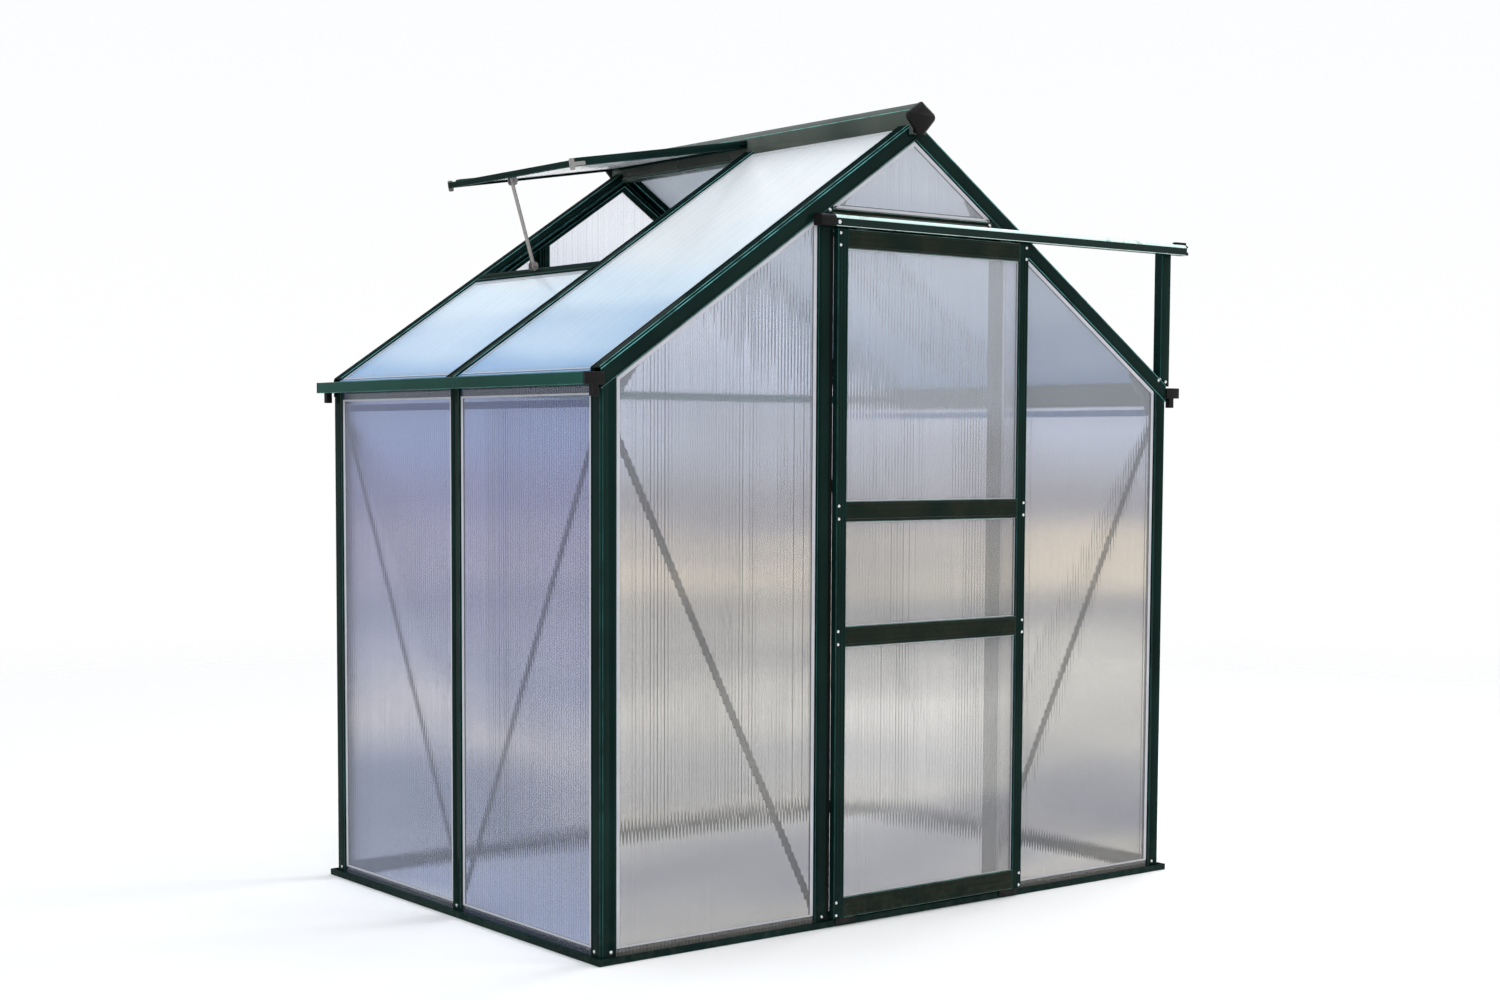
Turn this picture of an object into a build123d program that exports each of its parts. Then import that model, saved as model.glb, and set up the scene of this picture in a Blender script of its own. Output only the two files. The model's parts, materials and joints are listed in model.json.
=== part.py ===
"""Small aluminium greenhouse with twin-wall polycarbonate panels.

The frame is bolted together from a handful of extruded sections: a ground sill, an angle
section for the four corners and the gable rafters, a hat section for the bars between two
panels, a jamb section beside the doorway, a gutter section at the eaves and a ridge section.
One bay of the left roof slope holds a propped vent, and the door hangs on rollers in a track.

Frame: +Z up, origin at the middle of the footprint on the ground, the door gable faces -Y.
Lengths are in millimetres, angles in degrees.
"""
from build123d import *
import math
import os

# Overall size
BASE_WIDTH = 1900.0
BASE_DEPTH = 1320.0
EAVE_HEIGHT = 1313.0
ROOF_PITCH = 34.0
ROOF_RISE_AT_WALL = 41.0

# Panels and the seat that every frame bar gives them
PANEL = 4.0
REBATE = 5.5
WALL = 2.5
LEDGE = 12.0
PANEL_GAP = 1.0
CUT_OVERRUN = 60.0

# Faces of the extruded bars and the bolt channel on their inner side
CORNER_FACE = 42.0
BAR_FACE = 40.0
JAMB_FACE = 44.0
BAR_DEPTH = 22.0
BOLT_SLOT = 8.0
BOLT_LIP = 2.0
CROWN_GROOVE = 5.0
FACE_GROOVE = 3.0
FACE_GROOVE_INSET = 6.0
GROOVE_DEPTH = 0.8
ARRIS = 5.0

# Ground sill: outer lip, bench for the panels, upstand behind them, foot inside
SILL_LIP_OUT = 14.0
SILL_LIP = 16.0
SILL_BENCH = 12.0
SILL_HEIGHT = 34.0
SILL_FOOT = 24.0

# Eave gutter and its plastic end caps
GUTTER_OUT = 48.0
GUTTER_DEPTH = 28.0
GUTTER_ROLL = 6.0
EAVE_SKIRT = 20.0
EAVE_OVERHANG = 14.0
EAVE_CAP = 6.0
EAVE_CAP_REACH = 6.0
SPOUT = 16.0
SPOUT_INSET = 30.0
SPOUT_DROP = 26.0
SPOUT_BORE = 10.0

# Ridge beam and its plastic end caps
RIDGE_HALF = 22.0
RIDGE_CREST = 6.0
RIDGE_ABOVE = 38.0
RIDGE_SHOULDER = 16.0
RIDGE_BELOW = 38.0
RIDGE_OVERHANG = 12.0
RIDGE_CAP = 18.0
RIDGE_CAP_MARGIN = 3.0
RIDGE_CAP_HALF = 44.0
RIDGE_CAP_SIDE = 12.0
RIDGE_CAP_ROUND = 11.0
RIDGE_CAP_BEVEL = 8.0

# Door gable
JAMB_CENTRE = 286.0
HEADER_DROP = 287.0
HEADER_FACE = 50.0
STRUT_FACE = 36.0
STRUT_DEPTH = 26.0
STRUT_OVERHANG = 12.0

# Door leaf
DOOR_LEFT = -268.0
DOOR_WIDTH = 642.0
DOOR_FOOT = 22.0
DOOR_TOP_LAP = 1.0
DOOR_DEPTH = 18.0
DOOR_CLEARANCE = 6.0
STILE_FACE = 32.0
TOP_RAIL_FACE = 46.0
RAIL_FACE = 50.0
upper_rail_share = 0.5795
lower_rail_share = 0.3977
DOOR_WALL = 2.0
door_groove_shares = (0.2, 0.5, 0.8)
GLAZING_GROOVE = 10.0
GLAZING_SLACK = 0.25

# Door track, rollers and bottom guides
TRACK_HEIGHT = 29.0
TRACK_SLOT = 8.0
TRACK_GAP = 5.0
TRACK_ROUND = 11.0
TRACK_LEFT = -278.0
TRACK_RIGHT = 976.0
TRACK_END_BLOCK = 46.0
TRACK_CAP = 8.0
TRACK_CAP_NOTCH = 12.0
STOP_TONGUE = 32.0
STOP_WIDTH = 14.0
STOP_RISE = 6.0
HANGER_INSET = 80.0
HANGER_WIDTH = 34.0
HANGER_PLATE = 4.0
ROLLER_RADIUS = 8.0
ROLLER_WIDTH = 6.0
ROLLER_CLEARANCE = 0.3
AXLE_RADIUS = 2.5
GUIDE_LENGTH = 60.0
GUIDE_INSET = 12.0
GUIDE_LEG = 3.0
GUIDE_CLEARANCE = 2.5
GUIDE_LIFT = 4.0

# Inner bracing
BRACE_WIDTH = 18.0
BRACE = 2.0
BRACE_DROP = 70.0
BRACE_FOOT = 52.0
BRACE_PARTING = 2.0
TIE_DROP = 49.0
TIE_FACE = 18.0
CROSSBAR_DROP = 1.0
CROSSBAR_FACE = 24.0
CROSSBAR_FLANGE = 12.0
GUSSET_LEG = 96.0
GUSSET = 2.0
GUSSET_DROP = 58.0
HEADER_GUSSET = 74.0
HEADER_GUSSET_FOOT = 34.0

# Roof vent, propped open
VENT_SILL_OUT = 492.0
VENT_SILL_FACE = 34.0
VENT_LENGTH = 580.0
VENT_OPEN_PITCH = 9.5
VENT_HINGE_DROP = 5.0
VENT_HINGE_GAP = 0.3
VENT_LAP = 14.0
VENT_BAR = 26.0
VENT_DEPTH = 16.0
VENT_SIDE_DEPTH = 21.0
VENT_WALL = 1.8
STAY_WIDTH = 14.0
STAY = 3.0
STAY_HOLE = 5.0
STAY_HOLE_PITCH = 32.0
STAY_HOLES = 4

# Places worked out from the sizes above
seat = REBATE + PANEL
seat_back = seat + WALL
wall_x = BASE_WIDTH / 2 - SILL_LIP_OUT
wall_y = BASE_DEPTH / 2 - SILL_LIP_OUT
pitch = math.radians(ROOF_PITCH)
apex_height = EAVE_HEIGHT + ROOF_RISE_AT_WALL + wall_x * math.tan(pitch)
corner_reach = CORNER_FACE + LEDGE
channel_width = BOLT_SLOT + 2 * WALL
door_back = -wall_y - DOOR_CLEARANCE
door_front = door_back - DOOR_DEPTH
door_middle = (door_back + door_front) / 2
door_right = DOOR_LEFT + DOOR_WIDTH
header_foot = apex_height - HEADER_DROP
header_top = header_foot + HEADER_FACE
door_top = header_foot + DOOR_TOP_LAP
door_height = door_top - DOOR_FOOT
track_foot = door_top + TRACK_GAP
track_depth = DOOR_DEPTH + 2 * DOOR_CLEARANCE
brace_top = EAVE_HEIGHT - BRACE_DROP
tie_foot = EAVE_HEIGHT - TIE_DROP
crossbar_foot = EAVE_HEIGHT - CROSSBAR_DROP

up_slope = (math.cos(pitch), 0, math.sin(pitch))
into_roof = (math.sin(pitch), 0, -math.cos(pitch))

LEFT_RIGHT = Plane.YZ
FRONT_BACK = Plane.XZ


def roof_height(out, depth=0):
    """Height of the left or right slope at a distance from the middle, at a depth below its face."""
    return apex_height - abs(out) * math.tan(pitch) - depth / math.cos(pitch)


def outline(*points):
    return make_face(Polyline(*points, close=True))


def box(low, high):
    """A block between two corners."""
    size = [b - a for a, b in zip(low, high)]
    return Pos(*low) * Box(*size, align=(Align.MIN, Align.MIN, Align.MIN))


def save(name, *solids):
    shape = solids[0] if len(solids) == 1 else Compound(children=list(solids))
    export_step(shape, f"parts/{name}.step")


def prism_along_y(face, low, high):
    """Extrude an outline drawn in X and Z from one Y to another."""
    return extrude(Plane((0, low, 0), x_dir=(1, 0, 0), z_dir=(0, -1, 0)) * face, amount=low - high)


# Extruded sections, drawn across the bar (x) and into the building (y)
def leg_end(face):
    """Half of a bar from its face to the ledge and bolt channel at the panel's side."""
    slot_far = face - WALL
    slot_near = slot_far - BOLT_SLOT
    groove = face - FACE_GROOVE_INSET
    return [
        (groove - FACE_GROOVE, 0),
        (groove - FACE_GROOVE, GROOVE_DEPTH),
        (groove, GROOVE_DEPTH),
        (groove, 0),
        (face, 0),
        (face, seat),
        (face + LEDGE, seat),
        (face + LEDGE, seat_back),
        (face, seat_back),
        (face, BAR_DEPTH),
        (slot_far - BOLT_LIP, BAR_DEPTH),
        (slot_far - BOLT_LIP, BAR_DEPTH - WALL),
        (slot_far, BAR_DEPTH - WALL),
        (slot_far, WALL),
        (slot_near, WALL),
        (slot_near, BAR_DEPTH - WALL),
        (slot_near + BOLT_LIP, BAR_DEPTH - WALL),
        (slot_near + BOLT_LIP, BAR_DEPTH),
        (slot_near - WALL, BAR_DEPTH),
        (slot_near - WALL, WALL),
    ]


def corner_section():
    """Angle with a bevelled arris, and a panel seat and a bolt channel at the end of each leg."""
    leg = leg_end(CORNER_FACE)
    other_leg = [(y, x) for x, y in reversed(leg)]
    inner_arris = (ARRIS, WALL), (WALL, ARRIS)
    return outline((ARRIS, 0), *leg, *inner_arris, *other_leg, (0, ARRIS))


def jamb_section(face):
    """Channel with a panel seat on one side and a plain return on the other."""
    return outline((0, 0), *leg_end(face), (WALL, WALL), (WALL, seat_back), (0, seat_back))


def hat_section():
    """Bar between two panels: a grooved crown, a ledge on each side, a bolt channel behind."""
    half = BAR_FACE / 2
    stem = channel_width / 2
    groove = CROWN_GROOVE / 2
    right = [
        (groove, GROOVE_DEPTH),
        (groove, 0),
        (half, 0),
        (half, seat),
        (half + LEDGE, seat),
        (half + LEDGE, seat_back),
        (half - WALL, seat_back),
        (half - WALL, WALL),
        (stem, WALL),
        (stem, BAR_DEPTH),
        (stem - WALL - BOLT_LIP, BAR_DEPTH),
        (stem - WALL - BOLT_LIP, BAR_DEPTH - WALL),
        (stem - WALL, BAR_DEPTH - WALL),
        (stem - WALL, WALL),
    ]
    left = [(-x, y) for x, y in reversed(right)]
    return outline(*right, *left)


def ridge_outline():
    """Outer shape of the ridge beam in X and Z, without the panel flanges."""
    top = apex_height + RIDGE_ABOVE
    right = [
        (RIDGE_CREST, top),
        (RIDGE_HALF, top - RIDGE_SHOULDER),
        (RIDGE_HALF, apex_height - RIDGE_BELOW),
    ]
    return right + [(-x, z) for x, z in reversed(right)]


# Envelopes that the pieces below or beside a bar are trimmed to
def rafter_envelope():
    """Room of the front left rafter: its two legs, ledge and bolt channels."""
    far = -CUT_OVERRUN
    start = (-wall_x - CUT_OVERRUN, -wall_y, roof_height(wall_x + CUT_OVERRUN))
    reach = (wall_x + CUT_OVERRUN) / math.cos(pitch)
    section = outline(
        (far, far), (CORNER_FACE, far), (CORNER_FACE, seat), (corner_reach, seat), (corner_reach, seat_back),
        (CORNER_FACE, seat_back), (CORNER_FACE, BAR_DEPTH), (BAR_DEPTH, BAR_DEPTH), (BAR_DEPTH, corner_reach),
        (far, corner_reach),
    )
    return extrude(Plane(start, x_dir=into_roof, z_dir=up_slope) * section, amount=reach)


def trim_below_rafters(solid):
    room = rafter_envelope()
    return solid - room - mirror(room, LEFT_RIGHT)


def trim_foot(solid):
    """Clear the sill's upstand, which stands behind the panel plane."""
    inside_x = wall_x - seat
    inside_y = wall_y - seat
    return solid - box((-inside_x, -inside_y, 0), (inside_x, inside_y, SILL_HEIGHT))


def ridge_shell():
    half = wall_y + RIDGE_OVERHANG
    return prism_along_y(outline(*ridge_outline()), -half, half)


def ridge_flange():
    """Right flange under the roof panels, between the gable rafters."""
    tip = RIDGE_HALF + LEDGE * math.cos(pitch)
    root = RIDGE_HALF - WALL
    section = outline(
        (root, roof_height(root, seat_back)), (tip, roof_height(tip, seat_back)),
        (tip, roof_height(tip, seat)), (root, roof_height(root, seat)),
    )
    return prism_along_y(section, corner_reach - wall_y, wall_y - corner_reach)


# Ground frame
def sill_section():
    riser = SILL_LIP_OUT
    upstand = SILL_LIP_OUT + seat
    back = upstand + WALL
    foot_end = back + SILL_FOOT
    under_bench = SILL_BENCH - WALL
    return outline(
        (0, 0), (riser + WALL, 0), (riser + WALL, under_bench), (upstand, under_bench), (upstand, 0),
        (foot_end, 0), (foot_end, WALL), (back, WALL), (back, SILL_HEIGHT), (upstand, SILL_HEIGHT),
        (upstand, SILL_BENCH), (riser, SILL_BENCH), (riser, WALL), (WALL, WALL), (WALL, SILL_LIP),
        (0, SILL_LIP),
    )


def sill(length, depth):
    """A sill along X on the front edge of a footprint, mitred at both ends."""
    width = SILL_LIP_OUT + seat_back + SILL_FOOT
    edge = -depth / 2
    run = Plane((-length / 2, edge, 0), x_dir=(0, 1, 0), z_dir=(1, 0, 0))
    bar = extrude(run * sill_section(), amount=length)
    half = length / 2
    plan = outline((-half, edge), (half, edge), (half - width, edge + width), (width - half, edge + width))
    return bar & extrude(plan, amount=SILL_HEIGHT)


def ground_frame():
    front = sill(BASE_WIDTH, BASE_DEPTH)
    right = Rot(Z=90) * sill(BASE_DEPTH, BASE_WIDTH)
    save("front_sill", front)
    save("back_sill", mirror(front, FRONT_BACK))
    save("right_sill", right)
    save("left_sill", mirror(right, LEFT_RIGHT))


# Corner posts and side walls
def corner_post():
    """Front left post, from the sill's bench to the underside of the rafter."""
    base = Plane((-wall_x, -wall_y, SILL_BENCH), x_dir=(1, 0, 0), z_dir=(0, 0, 1))
    post = extrude(base * corner_section(), amount=roof_height(wall_x - corner_reach) - SILL_BENCH)
    return trim_foot(trim_below_rafters(post))


def side_stud():
    base = Plane((-wall_x, 0, SILL_BENCH), x_dir=(0, -1, 0), z_dir=(0, 0, 1))
    stud = trim_foot(extrude(base * hat_section(), amount=EAVE_HEIGHT - SILL_BENCH))
    skirt = box(
        (-wall_x + seat, -BASE_DEPTH, EAVE_HEIGHT - EAVE_SKIRT),
        (0, BASE_DEPTH, EAVE_HEIGHT + CUT_OVERRUN),
    )
    return stud - skirt


def eave_gutter():
    """Left gutter: trough outside, skirt behind the wall panels, ledge under the roof panels."""
    def at(inward, rise):
        return (-wall_x + inward, EAVE_HEIGHT + rise)

    def under_roof(inward, depth):
        return (-wall_x + inward, roof_height(wall_x - inward, depth))

    ledge_end = seat_back + LEDGE * math.cos(pitch)
    section = outline(
        at(-GUTTER_OUT, 0), at(seat, 0), at(seat, -EAVE_SKIRT), at(seat_back, -EAVE_SKIRT),
        under_roof(seat_back, seat_back), under_roof(ledge_end, seat_back), under_roof(ledge_end, seat),
        under_roof(seat, seat), at(seat, WALL), at(WALL - GUTTER_OUT, WALL),
        at(WALL - GUTTER_OUT, GUTTER_DEPTH - WALL), at(GUTTER_ROLL - GUTTER_OUT, GUTTER_DEPTH - WALL),
        at(GUTTER_ROLL - GUTTER_OUT, GUTTER_DEPTH), at(-GUTTER_OUT, GUTTER_DEPTH),
    )
    gutter = prism_along_y(section, -wall_y, wall_y)
    low_z = EAVE_HEIGHT - EAVE_SKIRT - CUT_OVERRUN
    high_z = roof_height(0)
    end = box((-wall_x, -wall_y - CUT_OVERRUN, low_z), (0, -wall_y + corner_reach, high_z))
    return gutter - end - mirror(end, FRONT_BACK)


def eave_cap(reach):
    """Front left plastic cap: closes the trough, covers the joint, drops a spout."""
    outer = -wall_x - GUTTER_OUT
    front = -wall_y - EAVE_CAP
    plate = box((outer, front, EAVE_HEIGHT), (-wall_x + reach, -wall_y, EAVE_HEIGHT + GUTTER_DEPTH))
    middle_x = outer + SPOUT_INSET
    middle_y = front + SPOUT / 2
    spout = box(
        (middle_x - SPOUT / 2, front, EAVE_HEIGHT - SPOUT_DROP),
        (middle_x + SPOUT / 2, front + SPOUT, EAVE_HEIGHT),
    )
    bore = Pos(middle_x, middle_y, EAVE_HEIGHT - SPOUT_DROP) * Cylinder(
        SPOUT_BORE / 2, SPOUT_DROP, align=(Align.CENTER, Align.CENTER, Align.MIN)
    )
    return plate + (spout - bore)


# Roof bars
def gable_rafter():
    """Front left rafter, from the outer face of the side wall to the mitre under the ridge."""
    low = wall_x + CUT_OVERRUN
    start = (-low, -wall_y, roof_height(low))
    place = Plane(start, x_dir=into_roof, z_dir=up_slope)
    bar = extrude(place * corner_section(), amount=(low + CUT_OVERRUN) / math.cos(pitch))
    keep = box((-wall_x, -wall_y, EAVE_HEIGHT - 2 * corner_reach), (0, wall_y, apex_height))
    return (bar & keep) - ridge_shell()


def mid_rafter():
    """Left hat bar, notched over the eave ledge and over the ridge flange."""
    low = wall_x + EAVE_OVERHANG
    start = (-low - CUT_OVERRUN, 0, roof_height(low + CUT_OVERRUN))
    place = Plane(start, x_dir=(0, -1, 0), z_dir=up_slope)
    bar = extrude(place * hat_section(), amount=(low + CUT_OVERRUN) / math.cos(pitch))
    eave_line = wall_x - seat_back - LEDGE * math.cos(pitch)
    notch_low = low + CUT_OVERRUN
    notch = prism_along_y(
        outline(
            (-notch_low, roof_height(notch_low, seat)), (-eave_line, roof_height(eave_line, seat)),
            (-eave_line, EAVE_HEIGHT - CUT_OVERRUN), (-notch_low, EAVE_HEIGHT - CUT_OVERRUN),
        ),
        -corner_reach,
        corner_reach,
    )
    keep = box((-low, -corner_reach, EAVE_HEIGHT), (-RIDGE_HALF, corner_reach, apex_height))
    return (bar & keep) - notch - mirror(ridge_flange(), LEFT_RIGHT)


def ridge_beam():
    top = apex_height + RIDGE_ABOVE
    right = [
        (RIDGE_CREST - WALL / 2, top - WALL),
        (RIDGE_HALF - WALL, top - RIDGE_SHOULDER - WALL / 2),
        (RIDGE_HALF - WALL, apex_height - RIDGE_BELOW + WALL),
    ]
    bore = outline(*right, *[(-x, z) for x, z in reversed(right)])
    half = wall_y + RIDGE_OVERHANG
    flange = ridge_flange() - ridge_shell()
    shell = ridge_shell() - prism_along_y(bore, -half, half)
    return shell + flange + mirror(flange, LEFT_RIGHT)


def ridge_cap():
    """Front plastic cap: a small hood at the roof's pitch, round at its shoulders, with a bevelled nose."""
    inner = -wall_y - RIDGE_OVERHANG
    top = apex_height + RIDGE_ABOVE + RIDGE_CAP_MARGIN
    eaves = top - RIDGE_CAP_HALF * math.tan(pitch)
    right = [
        (RIDGE_CAP_HALF, eaves),
        (RIDGE_CAP_HALF, eaves - RIDGE_CAP_SIDE),
        (RIDGE_CREST, apex_height - RIDGE_BELOW - RIDGE_CAP_MARGIN),
    ]
    face = outline((0, top), *right, *[(-x, z) for x, z in reversed(right)])
    corners = face.vertices().sort_by(Axis.X)
    face = fillet(corners[:2] + corners[-2:], RIDGE_CAP_ROUND)
    cap = prism_along_y(face, inner - RIDGE_CAP, inner)
    nose = cap.faces().sort_by(Axis.Y)[0]
    return chamfer(nose.edges(), RIDGE_CAP_BEVEL)


# Door gable and back gable
def door_jamb():
    """Left jamb: its plain side faces the doorway."""
    inner = -JAMB_CENTRE + JAMB_FACE / 2
    base = Plane((inner, -wall_y, SILL_BENCH), x_dir=(1, 0, 0), z_dir=(0, 0, 1))
    section = mirror(jamb_section(JAMB_FACE), Plane.YZ)
    jamb = extrude(base * section, amount=roof_height(inner) - SILL_BENCH)
    return trim_foot(trim_below_rafters(jamb))


def door_header():
    half = JAMB_CENTRE - JAMB_FACE / 2
    run = Plane((half, -wall_y, header_foot), x_dir=(0, 0, 1), z_dir=(-1, 0, 0))
    return trim_below_rafters(extrude(run * jamb_section(HEADER_FACE), amount=2 * half))


def back_stud():
    """Left stud of the back gable, drawn on the front and mirrored to the back."""
    base = Plane((-JAMB_CENTRE, -wall_y, SILL_BENCH), x_dir=(1, 0, 0), z_dir=(0, 0, 1))
    inner = JAMB_CENTRE - BAR_FACE / 2 - LEDGE
    stud = extrude(base * hat_section(), amount=roof_height(inner) - SILL_BENCH)
    return mirror(trim_foot(trim_below_rafters(stud)), FRONT_BACK)


def back_crossbar():
    half = wall_x - CORNER_FACE + channel_width
    front = wall_y - BAR_DEPTH
    back = front - CROSSBAR_FLANGE
    top = crossbar_foot + CROSSBAR_FACE
    section = outline(
        (front, crossbar_foot), (front, top), (front - WALL, top), (front - WALL, crossbar_foot + WALL),
        (back, crossbar_foot + WALL), (back, crossbar_foot),
    )
    return extrude(Plane((-half, 0, 0), x_dir=(0, 1, 0), z_dir=(1, 0, 0)) * section, amount=2 * half)


# Inner bracing
def flat_brace(foot, top):
    """Flat bar with round ends between two points of a wall, drawn as (along the wall, height)."""
    run = math.dist(foot, top)
    turn = math.degrees(math.atan2(top[1] - foot[1], top[0] - foot[0]))
    bar = Pos(run / 2, 0) * SlotCenterToCenter(run, BRACE_WIDTH)
    return Pos(*foot) * Rot(Z=turn) * bar


def gable_brace(foot_out):
    """Left brace of the door gable, flat against the bolt channels."""
    top = (-wall_x + CORNER_FACE - channel_width / 2, brace_top)
    face = flat_brace((-foot_out, BRACE_FOOT), top)
    lay = Plane((0, -wall_y + BAR_DEPTH, 0), x_dir=(1, 0, 0), z_dir=(0, -1, 0))
    return extrude(lay * face, amount=-BRACE)


def side_brace():
    """Front brace of the left wall: from the corner post down to the middle stud."""
    top = (wall_y - CORNER_FACE + channel_width / 2, brace_top)
    face = flat_brace((0, BRACE_FOOT), top)
    lay = Plane((-wall_x + BAR_DEPTH, 0, 0), x_dir=(0, -1, 0), z_dir=(-1, 0, 0))
    bar = extrude(lay * face, amount=-BRACE)
    return bar - box((-wall_x, -BRACE_PARTING / 2, 0), (0, wall_y, EAVE_HEIGHT))


def side_tie():
    half = wall_y - CORNER_FACE + channel_width
    inner = -wall_x + BAR_DEPTH
    return box((inner, -half, tie_foot), (inner + BRACE, half, tie_foot + TIE_FACE))


def eave_gusset():
    """Front left plate between the corner post and the rafter."""
    outer = -wall_x + CORNER_FACE - channel_width
    inner = outer + GUSSET_LEG
    low = EAVE_HEIGHT - GUSSET_DROP
    plate = outline(
        (outer, low),
        (outer + channel_width, low),
        (inner, roof_height(-inner, corner_reach)),
        (inner, roof_height(-inner, CORNER_FACE - channel_width)),
        (outer, roof_height(-outer, CORNER_FACE - channel_width)),
    )
    front = -wall_y + BAR_DEPTH
    return prism_along_y(plate, front, front + GUSSET)


def header_gusset():
    """Right plate between the header over the door and the rafter."""
    outer = JAMB_CENTRE - JAMB_FACE / 2
    inner = outer - HEADER_GUSSET
    low = header_top - channel_width
    depth = CORNER_FACE - channel_width
    plate = outline(
        (outer - HEADER_GUSSET_FOOT, low), (outer, low), (outer, roof_height(outer, depth)),
        (inner, roof_height(inner, depth)), (inner, roof_height(inner, corner_reach)),
    )
    front = -wall_y + BAR_DEPTH
    return prism_along_y(plate, front, front + GUSSET)


# Panels
def wall_panel(*points):
    """Panel in the front wall from its outline in X and Z."""
    return prism_along_y(outline(*points), -wall_y + REBATE, -wall_y + seat)


def gable_side_panel(inner):
    """Left panel of a gable, from the corner post to the next upright."""
    outer = wall_x - CORNER_FACE - PANEL_GAP
    edge = CORNER_FACE + PANEL_GAP
    return wall_panel(
        (-outer, SILL_BENCH), (-inner, SILL_BENCH), (-inner, roof_height(inner, edge)),
        (-outer, roof_height(outer, edge)),
    )


def gable_middle_panel(half, low):
    edge = CORNER_FACE + PANEL_GAP
    return wall_panel(
        (-half, low), (half, low), (half, roof_height(half, edge)), (0, roof_height(0, edge)),
        (-half, roof_height(half, edge)),
    )


def side_panel():
    """Front panel of the left wall."""
    return box(
        (-wall_x + REBATE, -wall_y + CORNER_FACE + PANEL_GAP, SILL_BENCH),
        (-wall_x + seat, -BAR_FACE / 2 - PANEL_GAP, EAVE_HEIGHT - PANEL_GAP),
    )


def roof_panel(near, far, top_out):
    """Panel of the left slope between two Y, from the gutter up to a distance from the middle."""
    low = wall_x + EAVE_OVERHANG / 2
    start = (-low, near, roof_height(low))
    length = (low - top_out) / math.cos(pitch)
    sheet = outline((REBATE, 0), (seat, 0), (seat, far - near), (REBATE, far - near))
    return extrude(Plane(start, x_dir=into_roof, z_dir=up_slope) * sheet, amount=length)


# Roof vent
def vent_sill():
    """Bar across the rear bay: its ledge carries the panel below it."""
    near = BAR_FACE / 2
    far = wall_y - CORNER_FACE
    start = (-VENT_SILL_OUT, far, roof_height(VENT_SILL_OUT))
    down_slope = tuple(-v for v in up_slope)
    place = Plane(start, x_dir=down_slope, z_dir=(0, -1, 0))
    bar = extrude(place * jamb_section(VENT_SILL_FACE), amount=far - near)
    deep = BAR_DEPTH + CUT_OVERRUN
    span = VENT_SILL_FACE + corner_reach
    ledge_room = outline((-span, seat), (span, seat), (span, deep), (-span, deep))
    for offset in (0, far - near - LEDGE):
        bar = bar - extrude(place.offset(offset) * ledge_room, amount=LEDGE)
    return bar


def vent_width():
    return wall_y - CORNER_FACE - BAR_FACE / 2 + 2 * VENT_LAP


def vent_place():
    """Plane of the open leaf: x runs down it from the hinge, y along the ridge, z out of it."""
    open_pitch = math.radians(VENT_OPEN_PITCH)
    far = wall_y - CORNER_FACE + VENT_LAP
    hinge = (-RIDGE_HALF - VENT_HINGE_GAP, far, apex_height - VENT_HINGE_DROP)
    down = (-math.cos(open_pitch), 0, -math.sin(open_pitch))
    out = (-math.sin(open_pitch), 0, math.cos(open_pitch))
    return Plane(hinge, x_dir=down, z_dir=out)


def vent_bar_section(depth):
    """Bar of the leaf, drawn across and out: a flange, a groove for the panel and a thicker lip."""
    groove = PANEL + 2 * GLAZING_SLACK
    low = (VENT_DEPTH - groove) / 2
    high = low + groove
    return outline(
        (0, 0), (VENT_BAR, 0), (VENT_BAR, VENT_WALL), (VENT_WALL, VENT_WALL), (VENT_WALL, low - VENT_WALL),
        (VENT_BAR, low - VENT_WALL), (VENT_BAR, low), (VENT_WALL, low), (VENT_WALL, high), (VENT_BAR, high),
        (VENT_BAR, depth), (0, depth),
    )


def build_vent():
    place = vent_place()
    width = vent_width()
    across_leaf = Plane((VENT_LENGTH / 2, 0, 0), z_dir=(1, 0, 0))
    along_leaf = Plane((0, width / 2, 0), z_dir=(0, 1, 0))
    top = prism_along_y(vent_bar_section(VENT_DEPTH), 0, width)
    side = extrude(
        Plane((VENT_BAR, 0, 0), x_dir=(0, 1, 0), z_dir=(1, 0, 0)) * vent_bar_section(VENT_SIDE_DEPTH),
        amount=VENT_LENGTH - 2 * VENT_BAR,
    )
    edge = VENT_BAR - GLAZING_GROOVE
    low = (VENT_DEPTH - PANEL) / 2
    sheet = box((edge, edge, low), (VENT_LENGTH - edge, width - edge, low + PANEL))
    save("vent_rails", place * top, place * mirror(top, across_leaf))
    save("vent_side_bars", place * side, place * mirror(side, along_leaf))
    save("vent_panel", place * sheet)
    save("vent_sill", vent_sill())
    save("vent_stay", vent_stay())


def vent_stay():
    """Flat bar with a row of peg holes, from the sill up to the leaf's bottom rail."""
    leaf_end = vent_place().from_local_coords(Vector(VENT_LENGTH - VENT_BAR / 2, vent_width() / 2, 0))
    foot_out = VENT_SILL_OUT + VENT_SILL_FACE / 2 * math.cos(pitch)
    foot = Vector(-foot_out, leaf_end.Y, roof_height(foot_out))
    rise = (leaf_end - foot).normalized()
    length = (leaf_end - foot).length - STAY / 2 - 2 * VENT_HINGE_GAP
    middle = (leaf_end + foot) / 2
    plate = SlotOverall(length, STAY_WIDTH)
    first_hole = STAY_WIDTH / 2 - length / 2
    for step in range(STAY_HOLES):
        plate = plate - Pos(first_hole + step * STAY_HOLE_PITCH, 0) * Circle(STAY_HOLE / 2)
    face_out = rise.cross(Vector(0, 1, 0))
    place = Plane(middle, x_dir=rise, z_dir=face_out).offset(-STAY / 2)
    return extrude(place * plate, amount=STAY)


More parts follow.
